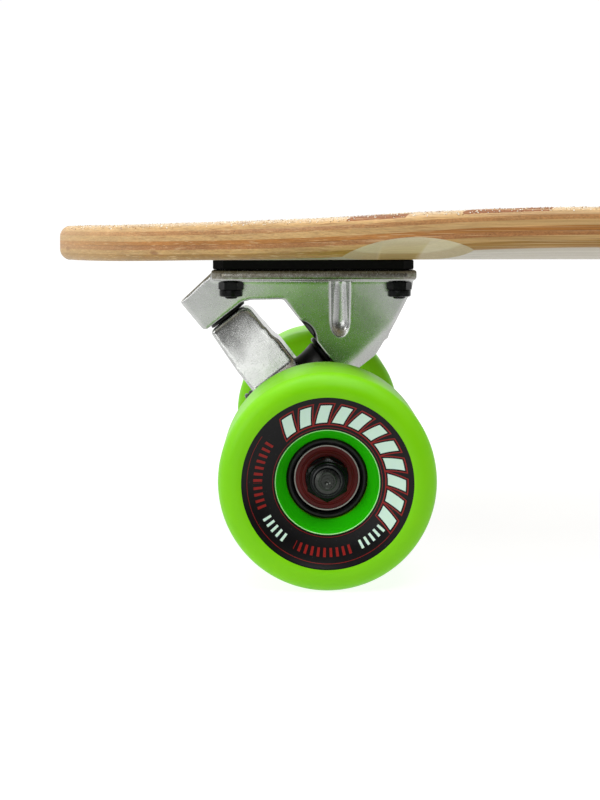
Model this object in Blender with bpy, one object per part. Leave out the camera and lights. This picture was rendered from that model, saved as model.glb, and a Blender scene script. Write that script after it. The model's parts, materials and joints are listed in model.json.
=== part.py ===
"""A longboard skateboard: laminated deck, two outboard-pivot trucks and four urethane wheels.

Metres, +Z up. The origin is on the floor under the middle of the deck, +X runs from nose to
tail and +Y to the far side. Each truck has its own frame, with its origin at the middle of
its axle and +X towards the middle of the board. Its hanger has a tilted frame as well, whose
+X is the steering axis and whose +Z is the kingpin's axis.
"""
import math

import bmesh
import bpy
from mathutils import Vector

GAP = 0.0003                 # left between pieces that touch
PAST = 0.002                 # how far a cutter runs past the face it opens

# Wheel, bearings and axle
WHEEL_RADIUS = 0.035
WHEEL_HALF_WIDTH = 0.0255
WHEEL_OFFSET = 0.103         # from the truck's centre line to the wheel's middle
LIP_RADIUS = 0.006           # rounding between tread and side face
FACE_OUTER = 0.0270          # the dished ring on each side face
FACE_INNER = 0.0167
FACE_DISH = 0.0035
CORE_RADIUS = 0.0129
CORE_HALF_WIDTH = 0.0135
CORE_FLANGE_RADIUS = 0.016
CORE_FLANGE_HALF = 0.009
BEARING_RADIUS = 0.011
BEARING_WIDTH = 0.007
BEARING_SPACING = 0.010      # between the two bearings of a wheel
AXLE_RADIUS = 0.004
AXLE_HALF_LENGTH = 0.1236
AXLE_NUT_FLATS = 0.0127
AXLE_NUT_HEIGHT = 0.0066
AXLE_NUT_COLLAR = 0.002      # height of its nylon collar
AXLE_NUT_SPACE = 0.001       # for the washer between bearing and nut
SHOULDER_RADIUS = 0.009      # bore of the core between its bearings
BORE_FLARE = 0.0006          # of the tyre, outside the core's edge
END_CHAMFER = 0.0008         # of axles, kingpins and nut collars
AXLE_BORE = AXLE_RADIUS + GAP

# Deck
DECK_LENGTH = 1.016
DECK_HALF_WIDTH = 0.115
DECK_THICKNESS = 0.0132
DECK_TAPER = 0.155           # length over which each end narrows
DECK_TAPER_POWERS = (1.7, 0.8)
DECK_EDGE = 0.0042           # rounding of the rails
CONCAVE_RISE = 0.0064        # of the rails above the middle
CONCAVE_FLAT = 0.020         # half width of the flat middle
CONCAVE_END_SHARE = 0.45     # of that rise, left near the tips
CONCAVE_END = 0.07           # from each tip, where the full fade is reached
CONCAVE_FADE = 0.12          # length over which the concave fades
DECK_ROWS = (0.72, 0.42)     # rows along the deck, as shares of its half width
WHEELBASE = 0.813

# Wheel wells, sanded into the rails inboard of each wheel
WELL_OFFSET = 0.0275
WELL_RADIUS = 0.052
WELL_DEPTH = 0.0050
WELL_REACH = 0.038

# Deck bolts, number 10
BOLT_SPACING = 0.0635
BOLT_GAUGE = 0.0413
BOLT_MIDDLE = -0.0025        # of the bolt pattern, in the truck's frame
BOLT_RADIUS = 0.0024
BOLT_HEAD_RADIUS = 0.0048
BOLT_HEAD_DEPTH = 0.0026
BOLT_HOLE = 0.0028
BOLT_SUNK = 0.0004           # head below the deck's top
NUT_FLATS = 0.0095
NUT_COLLAR_RADIUS = 0.0045
NUT_HEX_HEIGHT = 0.0033
NUT_HEIGHT = 0.0057

# Truck castings, heights above the axle
PLATE_BOTTOM = 0.0604
PLATE_TOP = 0.0645
PLATE_ENDS = (-0.0417, 0.0357)
PLATE_HALF_WIDTH = 0.0275
PLATE_CORNER = 0.004
SPINE_HALF_WIDTH = 0.0145
GROOVE_AT = 0.0072           # half-round groove up each flank of the spine
GROOVE_RADIUS = 0.0036
GROOVE_DEPTH = 0.0029
GROOVE_LOW = 0.0386
GROOVE_TIP = 0.0065          # height of its pointed end
RISER_SPACE = 0.0041
RISER_ENDS = (-0.0410, 0.0345)
RISER_HALF_WIDTH = 0.0270

# Steering geometry, in the hanger's frame
STEER_ANGLE = math.radians(52)       # of the steering axis below the horizon
KINGPIN_AT = -0.0185                 # along the steering axis
SEAT_HEIGHT = 0.0212                 # of the wedge's seat face above the steering axis
BLOCK_FACE = -0.0596                 # of the pivot block, along the steering axis
WEDGE_END = -0.0117
WEDGE_ROUNDING = 0.007
WEDGE_CUT = (0.015, 0.072)           # heights that the rounding of its edge covers
SCALLOP_AT = -0.0353                 # hollow in each edge of the seat face
SCALLOP_RADIUS = 0.007
SCALLOP_DEPTH = 0.0019
ARM_TOP = -0.0580
ARM_TOP_HALF_HEIGHT = 0.0088
ARM_HALF_HEIGHT = 0.0098
ARM_HALF_WIDTH = 0.0140
ARM_CHAMFER = 0.0021                 # on its top corner, under the spine
PAD_START = -0.0405                  # of the raised pad round the bushing seat
PAD_HEIGHT = 0.0104
PAD_END = -0.002
ARM_FOOT = 0.004                     # end of the arm, beyond the axle
RING_RADIUS = 0.0180
RING_EDGE = 0.0012
WEB_HALF_HEIGHT = 0.0035
SEAT_RADIUS = 0.0124
SEAT_REACH = 0.014                   # of the cutter that opens both bushing seats
HANGER_HALF_LENGTH = 0.090
HOUSING = ((0.0085, 0.090), (0.0085, 0.070), (0.0112, 0.016))    # radius and half length
CAST_EDGE = 0.0011
PIVOT_RADIUS = 0.0045
PIVOT_END = -0.0692
PIVOT_TAPER = 0.0015
CUP_RADIUS = 0.0068
CUP_FLANGE_RADIUS = 0.0080
CUP_END = -0.0716
CUP_CLEARANCE = 0.0006               # past the end of the pivot
KINGPIN_RADIUS = 0.00476
KINGPIN_HOLE = 0.0051
KINGPIN_RING_HOLE = 0.0070
KINGPIN_FLATS = 0.0143
KINGPIN_HEAD_SEAT = 0.0305
KINGPIN_HEAD_HEIGHT = 0.0055
KINGPIN_END = -0.0217
BUSHING_RADIUS = 0.0117
BUSHING_WAIST = 0.0110
WASHER_RADII = {"boardside": 0.0130, "roadside": 0.0117}
WASHER_THICKNESS = 0.0015
ROAD_BUSHING_HEIGHT = 0.0088
KINGPIN_NUT_HEIGHT = 0.0062
KINGPIN_NUT_COLLAR = 0.002
POCKET_TOP = 0.0640                  # past the plate, for the kingpin's head pocket

AXLE_HEIGHT = WHEEL_RADIUS
DECK_BOTTOM = AXLE_HEIGHT + PLATE_TOP + RISER_SPACE

COLOURS = {                          # colour, roughness, metallic
    "bamboo": ((0.62, 0.42, 0.22, 1), 0.45, 0),
    "black_rubber": ((0.02, 0.02, 0.02, 1), 0.8, 0),
    "cast_metal": ((0.55, 0.55, 0.54, 1), 0.4, 1),
    "black_steel": ((0.02, 0.02, 0.022, 1), 0.35, 1),
    "bright_steel": ((0.6, 0.6, 0.6, 1), 0.25, 1),
    "black_urethane": ((0.015, 0.013, 0.016, 1), 0.4, 0),
    "green_urethane": ((0.22, 0.68, 0.01, 1), 0.4, 0),
    "black_plastic": ((0.03, 0.03, 0.03, 1), 0.5, 0),
    "bearing_red": ((0.3, 0.02, 0.015, 1), 0.3, 0),
}


def clear_scene():
    """Empties the file."""
    for old in list(bpy.data.objects):
        bpy.data.objects.remove(old)


def material(name):
    """The named material, made at its first use."""
    found = bpy.data.materials.get(name)
    if found:
        return found
    colour, roughness, metallic = COLOURS[name]
    made = bpy.data.materials.new(name)
    made.use_nodes = True
    shader = made.node_tree.nodes["Principled BSDF"]
    shader.inputs["Base Color"].default_value = colour
    shader.inputs["Roughness"].default_value = roughness
    shader.inputs["Metallic"].default_value = metallic
    made.diffuse_color = colour
    return made


def empty(name, parent=None, location=(0, 0, 0), rotation=(0, 0, 0)):
    """A frame that pieces are placed in."""
    made = bpy.data.objects.new(name, None)
    bpy.context.scene.collection.objects.link(made)
    made.parent = parent
    made.location = location
    made.rotation_euler = rotation
    return made


def piece(name, bm, slot, parent=None, location=(0, 0, 0), rotation=(0, 0, 0)):
    """An object from a bmesh, shaded smooth between its sharp edges."""
    bmesh.ops.recalc_face_normals(bm, faces=bm.faces)
    mesh = bpy.data.meshes.new(name)
    bm.to_mesh(mesh)
    bm.free()
    mesh.shade_smooth()
    mesh.set_sharp_from_angle(angle=math.radians(35))
    made = bpy.data.objects.new(name, mesh)
    bpy.context.scene.collection.objects.link(made)
    made.parent = parent
    made.location = location
    made.rotation_euler = rotation
    if slot:
        mesh.materials.append(material(slot))
    return made


def cutter(target, bm, operation="DIFFERENCE", parent=None, location=(0, 0, 0), rotation=(0, 0, 0)):
    """Cuts a bmesh out of the target, or joins it on, with a Boolean."""
    shape = piece(f"{target.name}_tool", bm, None, parent, location, rotation)
    shape.hide_render = True
    shape.display_type = "WIRE"
    modifier = target.modifiers.new(operation.lower(), "BOOLEAN")
    modifier.operation = operation
    modifier.solver = "EXACT"
    modifier.object = shape


def turned(sections, steps, axis="Z", closed=False):
    """Rings about an axis, from sections of (size, height) or (size, height, "hex").

    A round section's size is its radius, and a hexagon's is half its width across flats. A
    size of 0 is a point on the axis. Closed sections go round a bore and back to the first.
    """
    along, first, second = {"X": (0, 1, 2), "Y": (1, 2, 0), "Z": (2, 0, 1)}[axis]
    bm = bmesh.new()
    rings = []
    for size, height, *shape in sections:
        ring = []
        for step in range(steps if size else 1):
            angle = 2 * math.pi * step / steps
            radius = size
            if shape:
                radius = size / math.cos(angle % (math.pi / 3) - math.pi / 6)
            point = [0, 0, 0]
            point[along] = height
            point[first] = radius * math.cos(angle)
            point[second] = radius * math.sin(angle)
            ring.append(bm.verts.new(point))
        rings.append(ring)
    pairs = list(zip(rings, rings[1:]))
    if closed:
        pairs.append((rings[-1], rings[0]))
    for low, high in pairs:
        for step in range(steps):
            after = (step + 1) % steps
            corners = [low[step % len(low)], low[after % len(low)],
                       high[after % len(high)], high[step % len(high)]]
            bm.faces.new(list(dict.fromkeys(corners)))
    return bm


def prism(outline, low, high, axis="Z"):
    """An outline of (first, second) points stood up along an axis."""
    along, first, second = {"X": (0, 1, 2), "Y": (1, 0, 2), "Z": (2, 0, 1)}[axis]
    bm = bmesh.new()
    corners = []
    for a, b in outline:
        point = [0, 0, 0]
        point[along] = low
        point[first] = a
        point[second] = b
        corners.append(bm.verts.new(point))
    base = bm.faces.new(corners)
    top = bmesh.ops.extrude_face_region(bm, geom=[base])["geom"]
    shift = Vector((0, 0, 0))
    shift[along] = high - low
    bmesh.ops.translate(bm, vec=shift, verts=[v for v in top if isinstance(v, bmesh.types.BMVert)])
    return bm


def arc(centre, radius, start, end, steps):
    """Points along a round stretch, angles in degrees."""
    angles = [math.radians(start + (end - start) * i / steps) for i in range(steps + 1)]
    return [(centre[0] + radius * math.cos(a), centre[1] + radius * math.sin(a)) for a in angles]


def cut_corners(x_ends, half_width, corner):
    """A rectangle in plan with its four corners cut off."""
    low, high = x_ends
    points = []
    for x, x_sign, y_sign in ((high, -1, 1), (low, 1, 1), (low, 1, -1), (high, -1, -1)):
        pair = [(x, y_sign * (half_width - corner)), (x + x_sign * corner, y_sign * half_width)]
        points += pair if x_sign * y_sign < 0 else pair[::-1]
    return points


def bolt_places():
    """The four deck bolts of a truck, in the truck's frame."""
    for end in (-1, 1):
        for side in (-1, 1):
            yield BOLT_MIDDLE + end * BOLT_SPACING / 2, side * BOLT_GAUGE / 2


# ---------------------------------------------------------------- deck

def half_width(x):
    """Of the deck's plan outline."""
    from_tip = DECK_LENGTH / 2 - abs(x)
    if from_tip >= DECK_TAPER:
        return DECK_HALF_WIDTH
    inner, outer = DECK_TAPER_POWERS
    return DECK_HALF_WIDTH * (1 - (1 - from_tip / DECK_TAPER) ** inner) ** outer


def concave(x, y):
    """Rise of the deck at a place in plan: none in the flat middle, and less near the tips."""
    from_tip = DECK_LENGTH / 2 - abs(x)
    end = min(1, max(0, (from_tip - CONCAVE_END) / CONCAVE_FADE))
    share = CONCAVE_END_SHARE + (1 - CONCAVE_END_SHARE) * end * end * (3 - 2 * end)
    side = max(0, abs(y) - CONCAVE_FLAT) / (DECK_HALF_WIDTH - CONCAVE_FLAT)
    return CONCAVE_RISE * side ** 2 * share


def deck_stations():
    """Places along the deck, close together towards each tip."""
    straight = DECK_LENGTH / 2 - DECK_TAPER
    ends = [straight + DECK_TAPER * math.sin(math.pi / 2 * i / 8) for i in range(9)]
    middle = [straight * i / 4 for i in range(4)]
    half = middle + ends
    return [-x for x in reversed(half[1:])] + half


def deck_outline():
    """Points round the deck with their outward normals, from the nose along the far rail."""
    stations = deck_stations()
    far = []
    step = 0.0002
    for x in stations[1:-1]:
        slope = (half_width(x + step) - half_width(x - step)) / (2 * step)
        normal = Vector((-slope, 1)).normalized()
        far.append((Vector((x, half_width(x))), normal))
    nose = (Vector((stations[0], 0)), Vector((-1, 0)))
    tail = (Vector((stations[-1], 0)), Vector((1, 0)))
    near = [(Vector((p.x, -p.y)), Vector((n.x, -n.y))) for p, n in reversed(far)]
    return [nose, *far, tail, *near]


def deck_mesh():
    """The deck with rounded rails and a concave top and underside."""
    outline = deck_outline()
    corner = [(DECK_EDGE * (1 - math.sin(a)), DECK_EDGE * (1 - math.cos(a)))
              for a in (0, math.pi / 4, math.pi / 2)]
    rail = corner + [(inset, DECK_THICKNESS - up) for inset, up in reversed(corner)]
    bm = bmesh.new()
    rings = []
    for inset, up in rail:
        ring = []
        for point, normal in outline:
            x, y = point - normal * inset
            ring.append(bm.verts.new((x, y, up + concave(x, y))))
        rings.append(ring)
    count = len(outline)
    for low, high in zip(rings, rings[1:]):
        for i in range(count):
            j = (i + 1) % count
            bm.faces.new((low[i], low[j], high[j], high[i]))
    for ring, height in ((rings[0], 0), (rings[-1], DECK_THICKNESS)):
        rows = [[ring[0]]]
        for i in range(1, count // 2):
            far, near = ring[i], ring[count - i]
            row = [far]
            flat = min(CONCAVE_FLAT, far.co.y / 4)
            inner = [far.co.y * share for share in DECK_ROWS] + [flat]
            for y in inner + [-y for y in reversed(inner)]:
                row.append(bm.verts.new((far.co.x, y, height + concave(far.co.x, y))))
            rows.append(row + [near])
        rows.append([ring[count // 2]])
        for before, after in zip(rows, rows[1:]):
            for k in range(max(len(before), len(after)) - 1):
                corners = [before[min(k, len(before) - 1)], before[min(k + 1, len(before) - 1)],
                           after[min(k + 1, len(after) - 1)], after[min(k, len(after) - 1)]]
                bm.faces.new(list(dict.fromkeys(corners)))
    return bm


def build_deck():
    """The deck, its eight countersunk bolt holes and its four wheel wells."""
    deck = piece("deck", deck_mesh(), "bamboo", location=(0, 0, DECK_BOTTOM))
    top = DECK_THICKNESS
    sink = BOLT_HEAD_DEPTH + BOLT_SUNK
    head = BOLT_HEAD_RADIUS + GAP
    hole = [(0, -PAST), (BOLT_HOLE, -PAST), (BOLT_HOLE, top - sink), (head, top - BOLT_SUNK),
            (head, top + PAST), (0, top + PAST)]
    tilt = math.atan2(WELL_DEPTH, WELL_REACH)
    for end in (-1, 1):
        for x, y in bolt_places():
            cutter(deck, turned(hole, 12), parent=deck,
                   location=(end * (WHEELBASE / 2 - x), y, 0))
        for side in (-1, 1):
            x = end * (WHEELBASE / 2 - WELL_OFFSET)
            rail_y = half_width(x)
            drop = WELL_RADIUS / math.cos(tilt) - WELL_DEPTH - concave(x, rail_y)
            reach = 1.5 * WELL_REACH
            scoop = turned([(0, -reach), (WELL_RADIUS, -reach), (WELL_RADIUS, reach), (0, reach)],
                           48, "Y")
            cutter(deck, scoop, parent=deck, location=(x, side * rail_y, -drop),
                   rotation=(side * tilt, 0, 0))


# ---------------------------------------------------------------- truck, fixed to the deck

def spine_outline():
    """Side outline of the casting under the plate: pivot block, spine and kingpin wedge."""
    lean, drop = math.cos(STEER_ANGLE), math.sin(STEER_ANGLE)

    def tilted(along, up):
        return (along * lean + up * drop, -along * drop + up * lean)

    return [
        (-0.0412, 0.0640), (-0.0540, 0.0520), tilted(BLOCK_FACE, -0.0102),
        tilted(BLOCK_FACE, 0.0080), (-0.0270, 0.0528), tilted(-0.0507, SEAT_HEIGHT),
        tilted(WEDGE_END, SEAT_HEIGHT), tilted(WEDGE_END, 0.0356), (0.0243, 0.0372),
        (0.0258, 0.0381), (0.0259, 0.0394), (0.0288, 0.0451), (0.0345, 0.0566),
        (0.0352, 0.0606), (0.0352, 0.0630),
    ]


def build_baseplate(name, truck, tilted):
    """Cast baseplate with its pivot block, its kingpin wedge and all their holes."""
    spine = prism(spine_outline(), -SPINE_HALF_WIDTH, SPINE_HALF_WIDTH, "Y")
    plate = piece(f"{name}_baseplate", spine, "cast_metal", truck)
    plate_outline = cut_corners(PLATE_ENDS, PLATE_HALF_WIDTH, PLATE_CORNER)
    cutter(plate, prism(plate_outline, PLATE_BOTTOM, PLATE_TOP), "UNION", truck)
    for x, y in bolt_places():
        hole = [(0, PLATE_BOTTOM - PAST), (BOLT_HOLE, PLATE_BOTTOM - PAST),
                (BOLT_HOLE, PLATE_TOP + PAST), (0, PLATE_TOP + PAST)]
        cutter(plate, turned(hole, 12), parent=truck, location=(x, y, 0))
    angles = [math.pi / 6 * i for i in range(4)]
    tip = [(GROOVE_RADIUS * math.sin(a), GROOVE_LOW + GROOVE_TIP * (1 - math.cos(a))) for a in angles]
    under_plate = PLATE_BOTTOM - 0.0001
    groove = tip + [(GROOVE_RADIUS, under_plate), (0, under_plate)]
    reach = 2 * PAST
    scallop = [(0, -reach), (SCALLOP_RADIUS, -reach), (SCALLOP_RADIUS, reach), (0, reach)]
    for side in (-1, 1):
        y = side * (SPINE_HALF_WIDTH + GROOVE_RADIUS - GROOVE_DEPTH)
        cutter(plate, turned(groove, 12), parent=truck, location=(GROOVE_AT, y, 0))
        cutter(plate, turned(scallop, 20, "Y"), parent=tilted,
               location=(SCALLOP_AT, side * (SPINE_HALF_WIDTH - PAST),
                         SEAT_HEIGHT + SCALLOP_DEPTH - SCALLOP_RADIUS))
        far = SPINE_HALF_WIDTH + PAST
        inner = SPINE_HALF_WIDTH - WEDGE_ROUNDING
        start = WEDGE_END - WEDGE_ROUNDING
        round_off = arc((start, inner), WEDGE_ROUNDING, 90, 0, 4)
        corner = round_off + [(WEDGE_END + PAST, inner), (WEDGE_END + PAST, far), (start, far)]
        corner = [(along, side * y) for along, y in corner]
        cutter(plate, prism(corner, *WEDGE_CUT), parent=tilted)
    bore = [(0, BLOCK_FACE + PAST), (CUP_RADIUS + GAP, BLOCK_FACE + PAST),
            (CUP_RADIUS + GAP, CUP_END - GAP), (0, CUP_END - GAP)]
    cutter(plate, turned(bore, 16, "X"), parent=tilted)
    half_flats = KINGPIN_FLATS / 2 + GAP
    low = SEAT_HEIGHT - PAST
    passage = [(0, low), (KINGPIN_HOLE, low), (KINGPIN_HOLE, KINGPIN_HEAD_SEAT),
               (half_flats, KINGPIN_HEAD_SEAT, "hex"), (half_flats, POCKET_TOP, "hex"),
               (0, POCKET_TOP)]
    cutter(plate, turned(passage, 12), parent=tilted, location=(KINGPIN_AT, 0, 0))


def build_riser(name, truck):
    """Rubber riser pad between deck and baseplate."""
    outline = cut_corners(RISER_ENDS, RISER_HALF_WIDTH, PLATE_CORNER)
    low, high = PLATE_TOP + GAP, PLATE_TOP + RISER_SPACE - GAP
    riser = piece(f"{name}_riser_pad", prism(outline, low, high), "black_rubber", truck)
    for x, y in bolt_places():
        hole = [(0, low - PAST), (BOLT_HOLE, low - PAST), (BOLT_HOLE, high + PAST),
                (0, high + PAST)]
        cutter(riser, turned(hole, 12), parent=truck, location=(x, y, 0))


def build_deck_bolts(name, truck):
    """Four countersunk bolts down through the deck, with a lock nut under the plate on each."""
    top = PLATE_TOP + RISER_SPACE + DECK_THICKNESS - BOLT_SUNK
    under = PLATE_BOTTOM - GAP
    bottom = under - NUT_HEIGHT
    end = bottom - END_CHAMFER
    bolt = [(0, end), (BOLT_RADIUS - END_CHAMFER / 2, end),
            (BOLT_RADIUS, bottom), (BOLT_RADIUS, top - BOLT_HEAD_DEPTH),
            (BOLT_HEAD_RADIUS, top), (0, top)]
    bore = BOLT_RADIUS + GAP
    nut = [(bore, under), (NUT_FLATS / 2, under, "hex"),
           (NUT_FLATS / 2, under - NUT_HEX_HEIGHT, "hex"),
           (NUT_COLLAR_RADIUS, under - NUT_HEX_HEIGHT), (NUT_COLLAR_RADIUS, bottom + END_CHAMFER),
           (NUT_COLLAR_RADIUS - END_CHAMFER, bottom), (bore, bottom)]
    for number, (x, y) in enumerate(bolt_places(), 1):
        piece(f"{name}_deck_bolt_{number}", turned(bolt, 12), "black_steel", truck, (x, y, 0))
        piece(f"{name}_deck_lock_nut_{number}", turned(nut, 12, closed=True), "black_steel",
              truck, (x, y, 0))


def build_kingpin(name, tilted):
    """Kingpin bolt, both bushings with their cup washers, the lock nut and the pivot cup."""
    at = (KINGPIN_AT, 0, 0)
    seat = KINGPIN_HEAD_SEAT + GAP
    head = KINGPIN_FLATS / 2
    bolt = [(0, KINGPIN_END), (KINGPIN_RADIUS - END_CHAMFER, KINGPIN_END),
            (KINGPIN_RADIUS, KINGPIN_END + END_CHAMFER), (KINGPIN_RADIUS, seat), (head, seat, "hex"),
            (head, seat + KINGPIN_HEAD_HEIGHT, "hex"), (0, seat + KINGPIN_HEAD_HEIGHT)]
    piece(f"{name}_kingpin", turned(bolt, 12), "bright_steel", tilted, at)

    hole = KINGPIN_HOLE
    board_washer = SEAT_HEIGHT - GAP - WASHER_THICKNESS
    road_bushing_end = -WEB_HALF_HEIGHT - GAP - ROAD_BUSHING_HEIGHT
    road_washer = road_bushing_end - GAP - WASHER_THICKNESS
    for place, low in (("boardside", board_washer), ("roadside", road_washer)):
        radius, high = WASHER_RADII[place], low + WASHER_THICKNESS
        washer = [(hole, low), (radius, low), (radius, high), (hole, high)]
        piece(f"{name}_bushing_washer_{place}", turned(washer, 16, closed=True), "black_steel",
              tilted, at)
    ends = {"boardside": (WEB_HALF_HEIGHT + GAP, board_washer - GAP),
            "roadside": (road_bushing_end, -WEB_HALF_HEIGHT - GAP)}
    for place, (low, high) in ends.items():
        middle = (low + high) / 2
        edge = END_CHAMFER
        bushing = [(hole, low), (BUSHING_RADIUS - edge, low), (BUSHING_RADIUS, low + edge),
                   (BUSHING_WAIST, middle), (BUSHING_RADIUS, high - edge),
                   (BUSHING_RADIUS - edge, high), (hole, high)]
        piece(f"{name}_bushing_{place}", turned(bushing, 16, closed=True), "black_urethane",
              tilted, at)
    top = road_washer - GAP
    bottom = top - KINGPIN_NUT_HEIGHT
    collar = bottom + KINGPIN_NUT_COLLAR
    nut = [(hole, top), (head, top, "hex"), (head, collar, "hex"), (head - END_CHAMFER, collar),
           (head - END_CHAMFER, bottom), (hole, bottom)]
    piece(f"{name}_kingpin_lock_nut", turned(nut, 12, closed=True), "black_steel", tilted, at)

    flange = BLOCK_FACE + GAP
    cup_mouth = ARM_TOP - GAP
    bore = PIVOT_RADIUS + GAP
    cup = [(0, CUP_END), (CUP_RADIUS, CUP_END), (CUP_RADIUS, flange), (CUP_FLANGE_RADIUS, flange),
           (CUP_FLANGE_RADIUS, cup_mouth), (bore, cup_mouth), (bore, PIVOT_END - CUP_CLEARANCE),
           (0, PIVOT_END - CUP_CLEARANCE)]
    piece(f"{name}_pivot_cup", turned(cup, 16, "X"), "black_urethane", tilted)


# ---------------------------------------------------------------- truck, steering

def arm_outline():
    """Side outline of the hanger's arm, along and across the steering axis."""
    return [
        (ARM_TOP, -ARM_TOP_HALF_HEIGHT), (ARM_TOP, ARM_TOP_HALF_HEIGHT - ARM_CHAMFER),
        (ARM_TOP + ARM_CHAMFER, ARM_TOP_HALF_HEIGHT), (PAD_START - 0.001, ARM_HALF_HEIGHT - 0.0006),
        (PAD_START, PAD_HEIGHT), (PAD_END, PAD_HEIGHT), (ARM_FOOT, 0.0050), (ARM_FOOT, -0.0060),
        (ARM_FOOT - 0.003, -ARM_HALF_HEIGHT), (PAD_START, -ARM_HALF_HEIGHT),
    ]


def build_hanger(name, tilted):
    """Arm, kingpin ring and axle housing as one casting, with its bores, and the axle."""
    arm = prism(arm_outline(), -ARM_HALF_WIDTH, ARM_HALF_WIDTH, "Y")
    hanger = piece(f"{name}_hanger", arm, "cast_metal", tilted)
    soften = hanger.modifiers.new("cast edges", "BEVEL")
    soften.width = CAST_EDGE
    soften.segments = 1
    soften.limit_method = "ANGLE"
    soften.angle_limit = math.radians(40)
    low, high = -ARM_HALF_HEIGHT, PAD_HEIGHT - 0.0002
    ring = [(0, low), (RING_RADIUS - RING_EDGE, low), (RING_RADIUS, low + RING_EDGE),
            (RING_RADIUS, high - RING_EDGE), (RING_RADIUS - RING_EDGE, high), (0, high)]
    cutter(hanger, turned(ring, 24), "UNION", tilted, (KINGPIN_AT, 0, 0))
    end = HANGER_HALF_LENGTH
    housing = [(0, -end)] + [(r, -y) for r, y in HOUSING] + [(r, y) for r, y in reversed(HOUSING)]
    housing.append((0, end))
    cutter(hanger, turned(housing, 20, "Y"), "UNION", tilted)
    pin_start = ARM_TOP + 2 * PAST
    pin = [(0, PIVOT_END), (PIVOT_RADIUS - PIVOT_TAPER, PIVOT_END),
           (PIVOT_RADIUS, PIVOT_END + PIVOT_TAPER), (PIVOT_RADIUS, pin_start), (0, pin_start)]
    cutter(hanger, turned(pin, 16, "X"), "UNION", tilted)
    seats = [(0, -SEAT_REACH), (SEAT_RADIUS, -SEAT_REACH), (SEAT_RADIUS, -WEB_HALF_HEIGHT),
             (KINGPIN_RING_HOLE, -WEB_HALF_HEIGHT), (KINGPIN_RING_HOLE, WEB_HALF_HEIGHT),
             (SEAT_RADIUS, WEB_HALF_HEIGHT), (SEAT_RADIUS, SEAT_REACH), (0, SEAT_REACH)]
    cutter(hanger, turned(seats, 20), parent=tilted, location=(KINGPIN_AT, 0, 0))
    bore = [(0, -end - PAST), (AXLE_BORE, -end - PAST), (AXLE_BORE, end + PAST), (0, end + PAST)]
    cutter(hanger, turned(bore, 16, "Y"), parent=tilted)
    half = AXLE_HALF_LENGTH
    axle = [(0, -half), (AXLE_RADIUS - END_CHAMFER, -half), (AXLE_RADIUS, END_CHAMFER - half),
            (AXLE_RADIUS, half - END_CHAMFER), (AXLE_RADIUS - END_CHAMFER, half), (0, half)]
    piece(f"{name}_axle", turned(axle, 16, "Y"), "bright_steel", tilted)


# ---------------------------------------------------------------- wheels

def tyre_mesh():
    """Urethane tyre, moulded round the flange of its core."""
    lip = arc((WHEEL_RADIUS - LIP_RADIUS, WHEEL_HALF_WIDTH - LIP_RADIUS), LIP_RADIUS, 90, 0, 2)
    side = [(CORE_FLANGE_RADIUS + GAP, CORE_FLANGE_HALF + GAP),
            (CORE_RADIUS + GAP, CORE_FLANGE_HALF + GAP),
            (CORE_RADIUS + GAP, CORE_HALF_WIDTH + BORE_FLARE),
            (FACE_INNER, WHEEL_HALF_WIDTH - FACE_DISH), (FACE_OUTER, WHEEL_HALF_WIDTH - GAP)]
    side += lip
    sections = side + [(r, -y) for r, y in reversed(side)]
    return turned(sections, 24, "Y", closed=True)


def core_mesh():
    """Plastic core with a bearing seat on each side of its middle shoulder."""
    seat = BEARING_RADIUS + GAP
    shoulder = BEARING_SPACING / 2 - GAP
    side = [(SHOULDER_RADIUS, shoulder), (seat, shoulder), (seat, CORE_HALF_WIDTH),
            (CORE_RADIUS, CORE_HALF_WIDTH), (CORE_RADIUS, CORE_FLANGE_HALF),
            (CORE_FLANGE_RADIUS, CORE_FLANGE_HALF)]
    sections = side + [(r, -y) for r, y in reversed(side)]
    return turned(sections, 16, "Y", closed=True)


def build_wheel(name, tilted, side):
    """One wheel: tyre, core and two bearings, with the axle nut outside it."""
    frame = empty(f"{name}_wheel", tilted, (0, side * WHEEL_OFFSET, 0), (0, -STEER_ANGLE, 0))
    piece(f"{name}_tyre", tyre_mesh(), "green_urethane", frame)
    piece(f"{name}_wheel_core", core_mesh(), "black_plastic", frame)
    near = BEARING_SPACING / 2
    far = near + BEARING_WIDTH
    for place, sign in (("inner", -side), ("outer", side)):
        bearing = [(AXLE_BORE, near), (BEARING_RADIUS, near), (BEARING_RADIUS, far),
                   (AXLE_BORE, far)]
        bearing = [(r, sign * y) for r, y in bearing]
        piece(f"{name}_bearing_{place}", turned(bearing, 16, "Y", closed=True), "bearing_red",
              frame)
    low = WHEEL_OFFSET + far + AXLE_NUT_SPACE
    high = low + AXLE_NUT_HEIGHT
    flats = AXLE_NUT_FLATS / 2
    collar = high - AXLE_NUT_COLLAR
    nut = [(AXLE_BORE, low), (flats, low, "hex"), (flats, collar, "hex"),
           (flats - END_CHAMFER / 2, collar), (flats - 2 * END_CHAMFER, high), (AXLE_BORE, high)]
    nut = [(size, side * y, *shape) for size, y, *shape in nut]
    piece(f"{name}_axle_nut", turned(nut, 12, "Y", closed=True), "black_steel", tilted)


def build_truck(name, x, turn):
    """A whole truck with its wheels, under one end of the deck."""
    truck = empty(f"{name}_truck", None, (x, 0, AXLE_HEIGHT), (0, 0, turn))
    tilted = empty(f"{name}_steering_axis", truck, rotation=(0, STEER_ANGLE, 0))
    build_riser(name, truck)
    build_baseplate(name, truck, tilted)
    build_deck_bolts(name, truck)
    build_kingpin(name, tilted)
    build_hanger(name, tilted)
    facing = 1 if turn == 0 else -1
    build_wheel(f"{name}_near", tilted, -facing)
    build_wheel(f"{name}_far", tilted, facing)


clear_scene()
build_deck()
build_truck("nose", -WHEELBASE / 2, 0)
build_truck("tail", WHEELBASE / 2, math.pi)
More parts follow.
